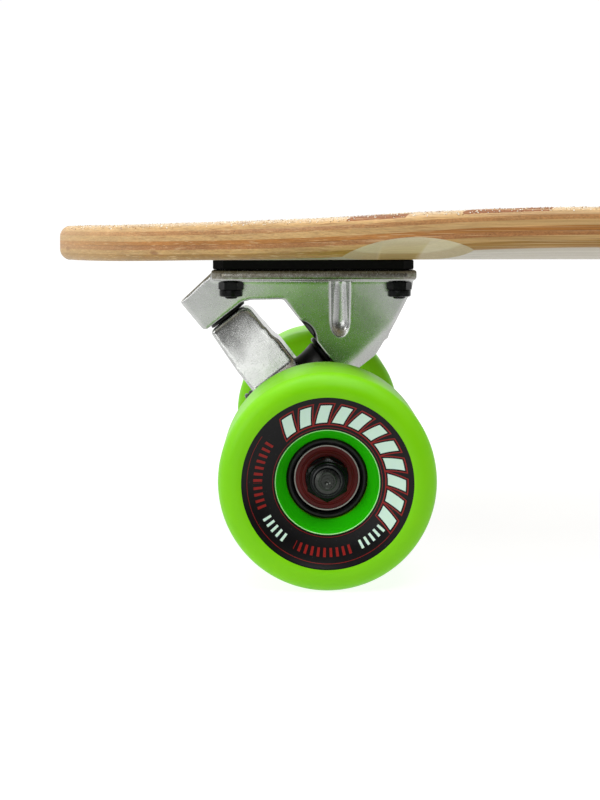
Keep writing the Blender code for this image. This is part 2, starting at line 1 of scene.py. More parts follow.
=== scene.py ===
"""Looks of a longboard skateboard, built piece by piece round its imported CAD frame.

Metres, in the CAD's own axes: +X from nose to tail, +Y to the far side, +Z up. A truck's
space has its origin at the middle of the axle and +X towards the middle of the board. Its
tilted space has +X along the steering axis and +Z along the kingpin.
"""
import json
import math
import random

import bmesh
import bpy
from mathutils import Matrix, Vector


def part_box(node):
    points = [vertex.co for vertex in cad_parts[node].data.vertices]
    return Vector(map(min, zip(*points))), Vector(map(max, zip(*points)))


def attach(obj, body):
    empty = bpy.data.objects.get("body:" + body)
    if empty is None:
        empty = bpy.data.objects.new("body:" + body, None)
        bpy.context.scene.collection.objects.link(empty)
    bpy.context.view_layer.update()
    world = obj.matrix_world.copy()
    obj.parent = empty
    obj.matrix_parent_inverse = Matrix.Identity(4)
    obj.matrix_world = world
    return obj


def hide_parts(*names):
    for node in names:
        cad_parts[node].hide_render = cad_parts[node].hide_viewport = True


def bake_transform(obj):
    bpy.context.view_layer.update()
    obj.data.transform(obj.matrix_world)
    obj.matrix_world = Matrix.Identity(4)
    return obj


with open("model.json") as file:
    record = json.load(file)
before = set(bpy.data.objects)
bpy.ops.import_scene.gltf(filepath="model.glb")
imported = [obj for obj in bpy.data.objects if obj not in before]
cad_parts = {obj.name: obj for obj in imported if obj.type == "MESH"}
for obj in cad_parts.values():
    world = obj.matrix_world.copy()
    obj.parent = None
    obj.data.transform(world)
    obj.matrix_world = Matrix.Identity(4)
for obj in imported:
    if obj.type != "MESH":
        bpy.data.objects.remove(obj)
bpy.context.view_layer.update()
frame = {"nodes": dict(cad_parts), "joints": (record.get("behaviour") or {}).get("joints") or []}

BODY_BOARD = "board"
IDENTITY = Matrix.Identity(4)
TRUCKS = ("nose", "tail")
HAIR = 0.0001                       # keeps touching surfaces apart
PAST = 0.002                        # how far a cut reaches past the surface that it opens
HEX_SHARE = math.cos(math.pi / 6)   # half the flats of a hexagon over its corner radius
HEX_FLAT = 0.955                    # radius of its chamfered end over half its flats
THREAD_DEPTH = 0.55                 # share of the pitch
THREAD_ROWS = 6                     # rings of points per pitch

# Deck: outline, concave and rails as in the CAD
DECK_TAPER = 0.155
DECK_TAPER_POWERS = (1.7, 0.8)
DECK_EDGE = 0.0042
DECK_THICKNESS = 0.0132
CONCAVE_RISE = 0.0064
CONCAVE_FLAT = 0.020
CONCAVE_END_SHARE = 0.45
CONCAVE_END = 0.07
CONCAVE_FADE = 0.12
TIP_DROOP = 0.0008
TIP_DROOP_REACH = 0.07
WELL_OFFSET = 0.0275
WELL_RADIUS = 0.052
WELL_DEPTH = 0.0050
WELL_REACH = 0.038
INLAYS = ((-0.007, 0.019), (0.042, 0.071))      # dark veneer at the rails, inboard of the axle
INLAY_SWEEP = 0.55                  # how far the inlays lean towards the middle
STRIP_WIDTH = 0.0056                # of the bamboo strips in a ply
KNUCKLE_PITCH = 0.24
GRIT_GRAINS = 13000
GRAIN_SIZES = (0.00014, 0.00038)
GRAIN_INSET = 0.0009                # least distance from the deck's outline
GRAIN_SPREAD = 0.005                # mean distance beyond that

# Bolts through the deck
BOLTS = range(1, 5)
HOLE_RADIUS = 0.0028
HOLE_ENDS = (0.05, 0.07)            # heights that clear the plate and the riser pad
BOLT_SHANK = 0.0024                 # radius

# Castings
PLATE_BOTTOM = 0.0604
PLATE_TOP = 0.0645
PLATE_ENDS = (-0.0417, 0.0357)
PLATE_HALF_WIDTH = 0.0275
PLATE_CORNER = 0.004
PLATE_BEVEL = 0.0009
SPINE_HALF_WIDTH = 0.0145
SPINE_DRAFT = 0.11                  # how much narrower the flanks get, per side and metre down
SPINE_CORE = 0.009                  # half width inside which nothing is drafted
GROOVE_AT = 0.0072
GROOVE_RADIUS = 0.0036
GROOVE_DEPTH = 0.0029
GROOVE_LOW = 0.0386
GROOVE_TIP = 0.0065
SEAT_HEIGHT = 0.0212
BLOCK_FACE = -0.0596
WEDGE_END = -0.0117
WEDGE_ROUNDING = 0.007
SCALLOP_AT = -0.0353
SCALLOP_RADIUS = 0.007
SCALLOP_DEPTH = 0.0019
SCALLOP_AXIS = SEAT_HEIGHT + SCALLOP_DEPTH - SCALLOP_RADIUS
ARM_TOP = -0.0580
ARM_TOP_HALF_HEIGHT = 0.0088
ARM_HALF_HEIGHT = 0.0098
ARM_HALF_WIDTH = 0.0140
ARM_CHAMFER = 0.0021
ARM_DRAFT = 5.0                     # share by which it widens, per metre towards the kingpin
ARM_CROWN = 0.0014                  # how far the arm's flanks fall away at its top
ARM_CROWN_REACH = 0.013
ARM_CORE = 0.007                    # half width inside which the arm has no crown
PAD_START = -0.0405
PAD_HEIGHT = 0.0104
PAD_END = -0.002
ARM_FOOT = 0.004
RING_RADIUS = 0.0180
WEB_HALF_HEIGHT = 0.0035
SEAT_RADIUS = 0.0124
HOUSING_END = 0.090
HOUSING = ((0.0085, 0.070), (0.0112, 0.016))    # radius and reach of its ends and its middle
PIVOT_RADIUS = 0.0045
CUP_RADIUS = 0.0071
KINGPIN_RADIUS = 0.00476
KINGPIN_BORE = 0.0051
KINGPIN_HEAD = 0.0055
KINGPIN_THREAD = 0.014
FINE_PITCH = 0.00106                # threads of the kingpin and the axle
CAST_VOXEL = 0.00042
CAST_SMOOTHING = 14
CAST_KEPT = 0.32                    # share of the triangles that a casting keeps

# Wheels
AXLE_RADIUS = 0.004
AXLE_BORE = 0.0042                  # of nuts and washers
LIP_RADIUS = 0.006
FACE_OUTER = 0.0270
FACE_INNER = 0.0167
FACE_DISH = 0.0035
FACE_SAG = 0.0005
CORE_RADIUS = 0.0129
CORE_HALF_WIDTH = 0.0135
CORE_FLANGE_RADIUS = 0.016
CORE_FLANGE_HALF = 0.009
BEARING_SEAT = 0.0113
RACE_OUTER = 0.0102                 # inside of a bearing's outer race
RACE_INNER = 0.0059                 # outside of its inner race
SHIELD_RECESS = 0.00035
NUT_HALF_FLATS = 0.00635

# Print on the wheels' outer faces
PRINT_OUTER = 0.0274
PRINT_INNER = 0.0168
PRINT_SIDE = 0.016                  # the printed face lies further out than this
PRINT_RIMS = ((0.02552, 0.02566), (0.01742, 0.01755))
BLOCK_ARC = (-38.0, 132.0)          # degrees round the face that the pale blocks cover
BLOCK_COUNT = 11
BLOCK_SHARE = 0.60                  # of its pitch that a block fills
BLOCK_RADII = (0.0192, 0.0248)
BLOCK_SLANT = 900.0                 # degrees of lean per metre of radius
BLOCK_LINE = 0.00035                # width of the red line round a block
TICK_PITCH = 5.2
TICK_SHARE = 0.42
TICK_RADII = (0.0208, 0.0236)
WHITE_TICKS = ((-64.0, -38.0), (-152.0, -126.0))
RED_TICKS = ((-118.0, -68.0), (-216.0, -156.0))


# ---------------------------------------------------------------- places, from the frame

def centre(node):
    """Middle of a CAD node's box."""
    low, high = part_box(node)
    return (low + high) / 2


def extent(node, space):
    """Lowest and highest corner of a CAD node along a space's own axes."""
    inverse = space.inverted()
    points = [inverse @ v.co for v in frame["nodes"][node].data.vertices]
    low = Vector([min(p[i] for p in points) for i in range(3)])
    high = Vector([max(p[i] for p in points) for i in range(3)])
    return low, high


def truck_spaces(truck):
    """The truck's space and its tilted space, from its steering joint."""
    joint = next(j for j in frame["joints"] if j["name"] == f"{truck}_steer")
    axis = Vector(joint["axis"])
    turn = 0 if axis.x > 0 else math.pi
    level = Matrix.Translation(joint["pos_m"]) @ Matrix.Rotation(turn, 4, "Z")
    tilt = math.atan2(-axis.z, abs(axis.x))
    return level, level @ Matrix.Rotation(tilt, 4, "Y")


SPACES = {truck: truck_spaces(truck) for truck in TRUCKS}
STEER_ANGLE = SPACES["nose"][1].to_euler().y
DECK_LOW, DECK_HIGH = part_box("deck")
DECK_BOTTOM = DECK_LOW.z
DECK_HALF_LENGTH = DECK_HIGH.x
DECK_HALF_WIDTH = DECK_HIGH.y
NOSE_AXLE = centre("nose_axle")


def bolt_axis(truck, number):
    """Where a deck bolt stands in its truck's space."""
    low, high = extent(f"{truck}_deck_bolt_{number}", SPACES[truck][0])
    return Matrix.Translation((*((low + high) / 2).xy, 0))


def kingpin_axis(truck):
    """Where the kingpin stands in its truck's tilted space."""
    low, high = extent(f"{truck}_kingpin", SPACES[truck][1])
    return Matrix.Translation(((low.x + high.x) / 2, 0, 0))


# ---------------------------------------------------------------- materials

def srgb(red, green, blue):
    """A colour given as screen values from 0 to 255."""
    def linear(value):
        value /= 255
        return value / 12.92 if value <= 0.04045 else ((value + 0.055) / 1.055) ** 2.4
    return (linear(red), linear(green), linear(blue), 1)


def grey(level):
    """A neutral colour."""
    return (level, level, level, 1)


def feed(value, socket):
    """Links a field to a node's input, or sets the input to a number or a colour."""
    if isinstance(value, Field):
        value.tree.links.new(value.socket, socket)
    else:
        socket.default_value = value


def new_field(tree, kind, inputs=(), output=0, **settings):
    """One output of a new node, whose inputs are fed from (name, value) pairs."""
    node = tree.nodes.new(kind)
    for key, value in settings.items():
        setattr(node, key, value)
    for key, value in dict(inputs).items():
        feed(value, node.inputs[key])
    return Field(tree, node.outputs[output])


class Field:
    """A number, colour or vector that varies over a surface: one output of a node."""

    def __init__(self, tree, socket):
        self.tree = tree
        self.socket = socket

    def math(self, operation, *others):
        """This field and others through one Math node."""
        inputs = enumerate((self, *others))
        return new_field(self.tree, "ShaderNodeMath", inputs, operation=operation)

    def __add__(self, other):
        return self.math("ADD", other)

    def __sub__(self, other):
        return self.math("SUBTRACT", other)

    def __rsub__(self, other):
        return self * -1 + other

    def __mul__(self, other):
        return self.math("MULTIPLY", other)

    def __truediv__(self, other):
        return self.math("DIVIDE", other)

    def __gt__(self, other):
        return self.math("GREATER_THAN", other)

    def __lt__(self, other):
        return self.math("LESS_THAN", other)

    def __abs__(self):
        return self.math("ABSOLUTE")

    def between(self, low, high):
        """1 inside the range and 0 outside it."""
        return (self > low) * (self < high)

    def smooth(self, low, high, start=0.0, end=1.0):
        """A smooth step from start, at low, to end, at high."""
        inputs = {"Value": self, "From Min": low, "From Max": high, "To Min": start, "To Max": end}
        return new_field(self.tree, "ShaderNodeMapRange", inputs, "Result",
                         interpolation_type="SMOOTHSTEP")

    def axes(self):
        """X, Y and Z of a vector."""
        split = new_field(self.tree, "ShaderNodeSeparateXYZ", {0: self})
        return [Field(self.tree, socket) for socket in split.socket.node.outputs]


def distance(a, b):
    """Length of a step of a along one axis and b along another."""
    return (a * a + b * b).math("SQRT")


class Finish:
    """A procedural material: helpers round one Principled BSDF."""

    def __init__(self, name, **settings):
        self.material = bpy.data.materials.new(name)
        self.material.use_nodes = True
        self.tree = self.material.node_tree
        self.place = new_field(self.tree, "ShaderNodeTexCoord", output="Object")
        self.use(**settings)

    def use(self, **values):
        """Feeds the shader's inputs and returns the material."""
        shader = self.tree.nodes["Principled BSDF"]
        for key, value in values.items():
            feed(value, shader.inputs[key.replace("_", " ").title().replace("Ior", "IOR")])
        return self.material

    def scaled(self, scale):
        """The place on the object, stretched by one scale or by one per axis."""
        scale = scale if isinstance(scale, tuple) else (scale, scale, scale)
        return new_field(self.tree, "ShaderNodeMapping", {"Vector": self.place, "Scale": scale})

    def noise(self, scale, detail=4.0, roughness=0.55):
        """Noise from 0 to 1, with about so many waves per metre."""
        inputs = {"Vector": self.scaled(scale), "Scale": 1, "Detail": detail, "Roughness": roughness}
        return new_field(self.tree, "ShaderNodeTexNoise", inputs)

    def cells(self, scale, output="Distance"):
        """Voronoi cells, about so many per metre."""
        inputs = {"Vector": self.scaled(scale), "Scale": 1}
        return new_field(self.tree, "ShaderNodeTexVoronoi", inputs, output)

    def chance(self, field):
        """A random number for each value of a field."""
        return new_field(self.tree, "ShaderNodeTexWhiteNoise", {"W": field}, "Value",
                         noise_dimensions="1D")

    def ramp(self, field, stops):
        """Colours along a field, from (position, colour) stops."""
        result = new_field(self.tree, "ShaderNodeValToRGB", {0: field})
        elements = result.socket.node.color_ramp.elements
        while len(elements) < len(stops):
            elements.new(1)
        for element, (position, colour) in zip(elements, stops):
            element.position = position
            element.color = colour
        return result

    def mix(self, share, first, second, blend="MIX"):
        """Two colours mixed by a field or a number."""
        return new_field(self.tree, "ShaderNodeMix", {0: share, 6: first, 7: second}, 2,
                         data_type="RGBA", blend_type=blend)

    def tone(self, colour, field):
        """A colour darkened or lightened by a field that is about 1."""
        return self.mix(1.0, colour, field, "MULTIPLY")

    def surface(self, colour, roughness, *layers):
        """The material with its colour, its roughness and layers of relief.

        A layer is a height and its depth in metres, on top of the layer before.
        """
        relief = None
        for height, depth in layers:
            inputs = {"Height": height, "Distance": depth}
            if relief:
                inputs["Normal"] = relief
            relief = new_field(self.tree, "ShaderNodeBump", inputs)
        return self.use(base_color=colour, roughness=roughness, normal=relief)


def laminate(finish):
    """Height in the laminate, from 0 at its underside to 1 at its top, with X and Y."""
    x, y, z = finish.place.axes()
    from_tip = DECK_HALF_LENGTH - abs(x)
    share = from_tip.smooth(CONCAVE_END, CONCAVE_END + CONCAVE_FADE, CONCAVE_END_SHARE, 1)
    side = (abs(y) - CONCAVE_FLAT).math("MAXIMUM", 0) / (DECK_HALF_WIDTH - CONCAVE_FLAT)
    rise = side * side * share * CONCAVE_RISE
    return (z - rise - DECK_BOTTOM) / DECK_THICKNESS, x, y


def inlay_mask(finish, x, y):
    """1 in the dark veneer inlays, which sweep across the top near each truck."""
    inboard = abs(NOSE_AXLE.x) - abs(x)
    across = abs(y) / DECK_HALF_WIDTH
    swept = inboard - (1 - across * across) * (INLAY_SWEEP * DECK_HALF_WIDTH)
    swept = swept + (finish.noise(40, 1) - 0.5) * 0.003
    first, second = (swept.between(*ends) for ends in INLAYS)
    return first + second


def strips(finish, x, y, dark, light):
    """Bamboo strips side by side, each with its own tone, fibres and knuckles."""
    lane = (y / STRIP_WIDTH).math("FLOOR")
    tone = finish.chance(lane)
    fibres = finish.noise((25, 2600, 300), 3)
    colour = finish.mix(tone * 0.6 + fibres * 0.4, dark, light)
    offset = x / KNUCKLE_PITCH + tone * 7.3
    knuckle = abs(offset.math("FRACT") - 0.5) * KNUCKLE_PITCH
    mark = knuckle.smooth(0.0006, 0.0022, 0.72, 1.0)
    seam = abs((y / STRIP_WIDTH).math("FRACT") - 0.5).smooth(0.46, 0.5, 1.0, 0.82)
    return finish.tone(colour, mark * seam)


PLY_EDGES = (0.0, 0.155, 0.275, 0.395, 0.51, 0.665, 0.78, 0.885, 1.0)      # from the underside up
PLY_COLOURS = (
    srgb(158, 117, 52), srgb(190, 151, 94), srgb(171, 118, 70), srgb(179, 120, 58),
    srgb(200, 161, 106), srgb(185, 135, 84), srgb(201, 162, 108), srgb(202, 166, 113),
)
CROSS_PLIES = (0, 0, 1, 0, 0, 1, 0, 0)
WELL_STOPS = ((0.0, srgb(170, 146, 92)), (0.13, srgb(178, 153, 98)), (0.16, srgb(200, 184, 140)),
              (0.37, srgb(206, 190, 150)), (0.41, srgb(182, 142, 98)))
GLUE_LINE = 0.395
VENEER_BOTTOM = 0.872
MAHOGANY = srgb(142, 80, 14)


def ply_stops(colours):
    """Ramp stops that give each ply its colour, with a short blend at each glue line."""
    blend = 0.006
    stops = []
    for low, high, colour in zip(PLY_EDGES, PLY_EDGES[1:], colours):
        stops += [(max(low + blend, 0), colour), (min(high - blend, 1), colour)]
    return stops


def rail_finish(name, sanded):
    """Sawn and sanded ply edges under clear lacquer."""
    finish = Finish(name, specular_ior_level=0.3, coat_weight=0.12, coat_roughness=0.25)
    level, x, y = laminate(finish)
    wave = (finish.noise((9, 9, 20), 2) - 0.5) * 0.035
    ripple = (finish.noise((55, 55, 120), 2) - 0.5) * 0.014
    height = level + wave + ripple
    plies = finish.ramp(height, ply_stops(PLY_COLOURS))
    glue = finish.noise(30, 2).smooth(0.35, 0.6)
    line = abs(height - GLUE_LINE).smooth(0.014, 0.006)
    plies = finish.mix(line * glue * 0.7, plies, srgb(118, 76, 36))
    veneer = (height > VENEER_BOTTOM) * inlay_mask(finish, x, y)
    plies = finish.mix(veneer, plies, MAHOGANY)
    cross = finish.ramp(height, ply_stops([grey(v) for v in CROSS_PLIES]))
    long_grain = finish.noise((45, 900, 4200), 6, 0.72)
    end_grain = finish.noise((1300, 1300, 2200), 4, 0.7)
    grain = long_grain * (1 - cross) + end_grain * cross
    colour = finish.tone(plies, grain.smooth(0.22, 0.78, 0.70, 1.24))
    fibres = finish.noise((14, 300, 2600), 4, 0.6)
    colour = finish.mix(fibres.smooth(0.55, 0.66, 0, 0.5), colour, srgb(146, 92, 46))
    colour = finish.mix(fibres.smooth(0.44, 0.34, 0, 0.45), colour, srgb(226, 196, 148))
    patches = finish.noise((17, 60, 420), 3, 0.6)
    colour = finish.tone(colour, patches.smooth(0.25, 0.75, 0.84, 1.12))
    knots = finish.cells((21, 90, 190))
    colour = finish.mix(knots.smooth(0.22, 0.08, 0, 0.7), colour, srgb(134, 80, 38))
    flecks = finish.noise((420, 900, 3000), 2, 0.7)
    colour = finish.mix(flecks.smooth(0.66, 0.72, 0, 0.75) * (cross * 0.7 + 0.3), colour, srgb(92, 54, 26))
    tip = abs(x).smooth(DECK_HALF_LENGTH - 0.05, DECK_HALF_LENGTH - 0.005, 0, 0.30)
    colour = finish.mix(tip, colour, srgb(216, 182, 128))
    speckle = finish.noise(1400, 3, 0.7)
    haze = height.smooth(0.88, 0.985) * speckle.smooth(0.35, 0.65, 0.12, 0.62) * (veneer * -0.9 + 1)
    colour = finish.mix(haze, colour, srgb(226, 216, 196))
    if sanded:
        exposed = finish.ramp(height, WELL_STOPS)
        colour = finish.mix(0.7, colour, finish.tone(exposed, grain.smooth(0.22, 0.78, 0.93, 1.05)))
    return finish.surface(colour, grain.smooth(0.2, 0.8, 0.52, 0.38), (grain, 0.00005), (patches, 0.0001))


def top_finish():
    """Bamboo top with dark inlays under a clear grit coat, with painted glints on the grit."""
    finish = Finish("deck_top_grit", coat_weight=0.35, coat_roughness=0.15)
    x, y, _ = finish.place.axes()
    bamboo = strips(finish, x, y, srgb(214, 180, 118), srgb(240, 220, 172))
    grain = finish.noise((30, 900, 900), 5, 0.6)
    dark = finish.tone(finish.mix(grain, srgb(98, 46, 8), srgb(152, 86, 24)), grain + 0.5)
    colour = finish.mix(inlay_mask(finish, x, y), bamboo, dark)
    grit = finish.cells(1500)
    fine = finish.noise(2600, 2)
    # Painted glints: near-white specks on some grit cells stand in for light caught by the clear grains.
    painted_glints = finish.chance(finish.cells(1500, "Color")).smooth(0.86, 0.9)
    near = grit.smooth(0.42, 0.2)
    colour = finish.mix(painted_glints * near * 0.7, colour, srgb(252, 244, 226))
    colour = finish.tone(colour, grit.smooth(0.2, 0.8, 1.05, 0.82))
    return finish.surface(colour, grit.smooth(0.1, 0.7, 0.22, 0.62), (grit * -1 + fine * 0.4, 0.0005))


def under_finish():
    """Pale lacquered bamboo underside."""
    finish = Finish("deck_underside", specular_ior_level=0.25, coat_weight=0.1, coat_roughness=0.2)
    x, y, _ = finish.place.axes()
    colour = strips(finish, x, y, srgb(158, 144, 118), srgb(180, 169, 149))
    fibres = finish.noise((18, 1600, 200), 4)
    stain = finish.noise((14, 30, 30), 3)
    colour = finish.tone(colour, stain.smooth(0.3, 0.7, 0.93, 1.03))
    return finish.surface(colour, fibres.smooth(0.2, 0.8, 0.45, 0.3), (fibres, 0.00006))


def grit_finish():
    """Loose-looking clear and amber mineral grains."""
    finish = Finish("clear_grit", coat_weight=0.5)
    each = new_field(finish.tree, "ShaderNodeNewGeometry", output="Random Per Island")
    colour = finish.ramp(each, (
        (0.0, srgb(250, 246, 236)), (0.45, srgb(236, 224, 196)), (0.7, srgb(214, 180, 128)),
        (0.88, srgb(150, 96, 52)), (1.0, srgb(255, 255, 250)),
    ))
    cloud = finish.noise(3000, 2)
    return finish.use(base_color=finish.tone(colour, cloud * 0.3 + 0.85),
                      roughness=cloud.smooth(0.2, 0.8, 0.1, 0.45))


def cast_finish():
    """Tumbled aluminium casting: fine satin grain, faint mottling, a few small pits, a darker speckled
    plate edge that is partly cast skin and partly painted reflection, and painted shade in the scallops.
    """
    finish = Finish("cast_aluminium", metallic=1.0)
    x, y, z = finish.place.axes()
    mottle = finish.noise(90, 2, 0.5)
    fine = finish.noise(1900, 3, 0.6)
    shade = mottle.smooth(0.3, 0.7, 0.90, 1.04) * fine.smooth(0.2, 0.8, 0.88, 1.08)
    pits = finish.cells(520).smooth(0.10, 0.04)
    colour = finish.tone(srgb(198, 199, 197), shade)
    colour = finish.mix(pits * 0.4, colour, srgb(120, 118, 110))
    # Darker speckled band on the plate's outer edge: partly cast skin, partly painted dark reflection.
    outside = (abs(y) > PLATE_HALF_WIDTH - PLATE_CORNER).math("MAXIMUM", x > PLATE_ENDS[1] - HAIR)
    rim = outside * z.smooth(PLATE_BOTTOM + 0.0003, PLATE_BOTTOM + 0.0011)
    speckle = finish.noise(700, 4, 0.75)
    colour = finish.mix(rim * speckle.smooth(0.3, 0.7, 0.95, 0.55), colour, srgb(104, 98, 80))
    # Painted shade: the scallops are coloured near black, as if deep in shadow.
    hollow = Matrix.Rotation(STEER_ANGLE, 3, "Y") @ Vector((SCALLOP_AT, 0, SCALLOP_AXIS))
    inside = distance(x - hollow.x, z - hollow.z).smooth(SCALLOP_RADIUS + 0.0009, SCALLOP_RADIUS)
    colour = finish.mix(inside * 0.93, colour, grey(0.01))
    return finish.surface(colour, fine.smooth(0.2, 0.8, 0.20, 0.29),
                          (fine, 0.000006), (mottle, 0.00010), (pits * -1, 0.00001))


def steel_finish(name, colour, low, high):
    """Machined steel, plated or blackened, with fine marks and lighter spots that are partly wear and
    partly painted highlight.
    """
    finish = Finish(name, metallic=1.0)
    fine = finish.noise(1500, 3)
    # Lighter grey spots, partly wear and partly painted highlight; they also set the roughness.
    wear_and_highlight = finish.noise(420, 4, 0.65)
    tint = finish.mix(wear_and_highlight.smooth(0.62, 0.8, 0, 0.35), finish.tone(colour, fine * 0.5 + 0.75), grey(0.30))
    return finish.surface(tint, wear_and_highlight.smooth(0.2, 0.8, low, high), (fine, 0.00002))


def plastic_finish(name, colour, rough=0.42, grain=0.00003, dusty=0.10, **more):
    """Moulded plastic, urethane or rubber with a soft grain and faint dust."""
    finish = Finish(name, **more)
    fine = finish.noise(1700, 3)
    dust = finish.noise(260, 5, 0.7)
    tint = finish.mix(dust.smooth(0.5, 0.8, 0, dusty), finish.tone(colour, fine * 0.3 + 0.85), grey(0.35))
    return finish.surface(tint, dust.smooth(0.2, 0.8, rough - 0.08, rough + 0.12), (fine, grain))


def shield_finish():
    """Dark red rubber seal with faint rings and painted shade towards its middle."""
    finish = Finish("bearing_seal", specular_ior_level=0.25)
    x, _, z = finish.place.axes()
    radius = distance(x, z)
    rings = (radius * 5200).math("SINE")
    fine = finish.noise(1400, 3)
    colour = finish.tone(srgb(104, 10, 8), fine * 0.4 + 0.8)
    # Painted shade: darker towards the inner race, next to the nut.
    colour = finish.tone(colour, radius.smooth(0.0058, 0.0072, 0.55, 1.0))
    return finish.surface(colour, fine.smooth(0.2, 0.8, 0.35, 0.5), (rings + fine, 0.00002))


def printed_marks(radius, degrees):
    """Masks of the white and of the red print: slanted blocks in red lines, ticks and rims."""
    start, end = BLOCK_ARC
    pitch = (end - start) / BLOCK_COUNT
    middle = sum(BLOCK_RADII) / 2
    lane = (degrees - start + (radius - middle) * BLOCK_SLANT) / pitch
    inside = degrees.between(start - pitch / 2, end + pitch / 2) * lane.between(0, BLOCK_COUNT)
    from_middle = abs(lane.math("FRACT") - 0.5) * pitch * (math.pi / 180) * radius
    half = BLOCK_SHARE / 2 * pitch * math.pi / 180 * middle

    def block(grow):
        """The blocks, grown on all sides."""
        low, high = BLOCK_RADII
        return inside * (from_middle < half + grow) * radius.between(low - grow, high + grow)

    gap = BLOCK_LINE * 1.4
    white = block(0)
    red = block(gap + BLOCK_LINE) - block(gap)
    tick = (degrees / TICK_PITCH).math("FRACT").between(0, TICK_SHARE) * radius.between(*TICK_RADII)
    turned_degrees = degrees - (degrees > 144) * 360
    for ends in WHITE_TICKS:
        white = white + tick * turned_degrees.between(*ends)
    for ends in RED_TICKS:
        red = red + tick * turned_degrees.between(*ends)
    outer, inner = (radius.between(*ends) for ends in PRINT_RIMS)
    red = red + outer * turned_degrees.between(-300.0, -40.0) + inner
    return white.math("MINIMUM", 1), red.math("MINIMUM", 1)


def tyre_finish():
    """Lime urethane with a black ring printed on the outer face: pale slanted blocks and ticks, painted
    shade deepening the green in the inner cone and a painted highlight round the print's inner lip.
    """
    finish = Finish("lime_urethane", subsurface_weight=0.15, subsurface_scale=0.004,
                    subsurface_radius=(0.6, 1.0, 0.15), specular_ior_level=0.2)
    x, y, z = finish.place.axes()
    radius = distance(x, z)
    degrees = z.math("ARCTAN2", x) * (180 / math.pi)
    cloud = finish.noise(70, 3)
    fine = finish.noise(1600, 3)
    green = finish.mix(cloud, srgb(114, 200, 0), srgb(130, 210, 0))
    # Painted shade and bounced light: the green is deepened in the inner cone next to the core.
    bore = radius.smooth(0.0172, 0.0164) * (abs(y) > CORE_HALF_WIDTH)
    green = finish.mix(bore, green, srgb(36, 190, 2))
    outward = y * -1
    white, red = printed_marks(radius, degrees)
    ink = finish.mix(red, finish.tone(srgb(13, 12, 13), fine + 0.5), srgb(140, 30, 25))
    ink = finish.mix(white, ink, srgb(204, 232, 214))
    scuff = finish.noise(900, 4, 0.7).smooth(0.66, 0.74, 0, 0.18)
    ink = finish.mix(scuff, ink, grey(0.25))
    face = (outward > PRINT_SIDE) * radius.between(PRINT_INNER, PRINT_OUTER)
    # Painted highlight: a thin pale ring on the inner lip of the printed face.
    lip = radius.between(0.01652, 0.0167) * (outward > PRINT_SIDE)
    colour = finish.mix(lip * 0.7, finish.mix(face, green, ink), srgb(214, 244, 206))
    streaks = finish.noise((60, 2200, 60), 2)
    rough = cloud.smooth(0.2, 0.8, 0.36, 0.46) + face * -0.08
    return finish.surface(colour, rough, (fine, 0.00003), (streaks, 0.00003), (face, 0.00004))


MATERIALS = {
    "rail": rail_finish("deck_ply_edges", False),
    "well": rail_finish("deck_sanded_well", True),
    "top": top_finish(),
    "under": under_finish(),
    "grit": grit_finish(),
    "riser": plastic_finish("riser_rubber", srgb(5, 5, 4), 0.6, 0.00008, 0.02, specular_ior_level=0.08),
    "cast": cast_finish(),
    "black_steel": steel_finish("black_oxide", srgb(30, 31, 31), 0.2, 0.4),
    "axle_steel": steel_finish("axle_steel", srgb(62, 64, 61), 0.2, 0.36),
    "bright_steel": steel_finish("zinc_plate", srgb(196, 198, 200), 0.18, 0.34),
    "race": steel_finish("ground_steel", srgb(140, 138, 130), 0.24, 0.4),
    "nylon": plastic_finish("black_nylon", srgb(30, 31, 32), 0.38),
    "urethane": plastic_finish("black_urethane", srgb(11, 10, 12), dusty=0.03, specular_ior_level=0.3),
    "core": plastic_finish("core_plastic", srgb(15, 14, 16), grain=0.00005, specular_ior_level=0.3),
    "seal": shield_finish(),
    "tyre": tyre_finish(),
}


# ---------------------------------------------------------------- shapes

def clamp(value):
    """A value kept between 0 and 1."""
    return min(1, max(0, value))


def link(name, mesh):
    """A new object in the scene."""
    made = bpy.data.objects.new(name, mesh)
    bpy.context.scene.collection.objects.link(made)
    return made


def mesh_of(name, bm, *materials, sharp=28):
    """A mesh from a bmesh, smooth between its sharp edges, in degrees."""
    bmesh.ops.recalc_face_normals(bm, faces=bm.faces)
    mesh = bpy.data.meshes.new(name)
    bm.to_mesh(mesh)
    bm.free()
    for key in materials:
        mesh.materials.append(MATERIALS[key])
    mesh.shade_smooth()
    mesh.set_sharp_from_angle(angle=math.radians(sharp))
    return mesh


def place(name, mesh, body, space=IDENTITY, stands_for=()):
    """A piece of the skateboard: where it is, what it moves with and what it stands for."""
    made = link(name, mesh)
    made.matrix_world = space
    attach(made, body)
    if stands_for:
        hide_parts(*stands_for)


def place_node(node, suffix, bm, key, space, body=BODY_BOARD):
    """A piece made for one CAD node in one material, standing for that node."""
    place(f"{node}_{suffix}", mesh_of(node, bm, key), body, space, [node])


def ring_at(bm, order, height, points):
    """Corners at a height along an order's first axis and at points on its other two."""
    made = []
    for pair in points:
        values = dict(zip(order, (height, *pair)))
        made.append(bm.verts.new([values[axis] for axis in range(3)]))
    return made


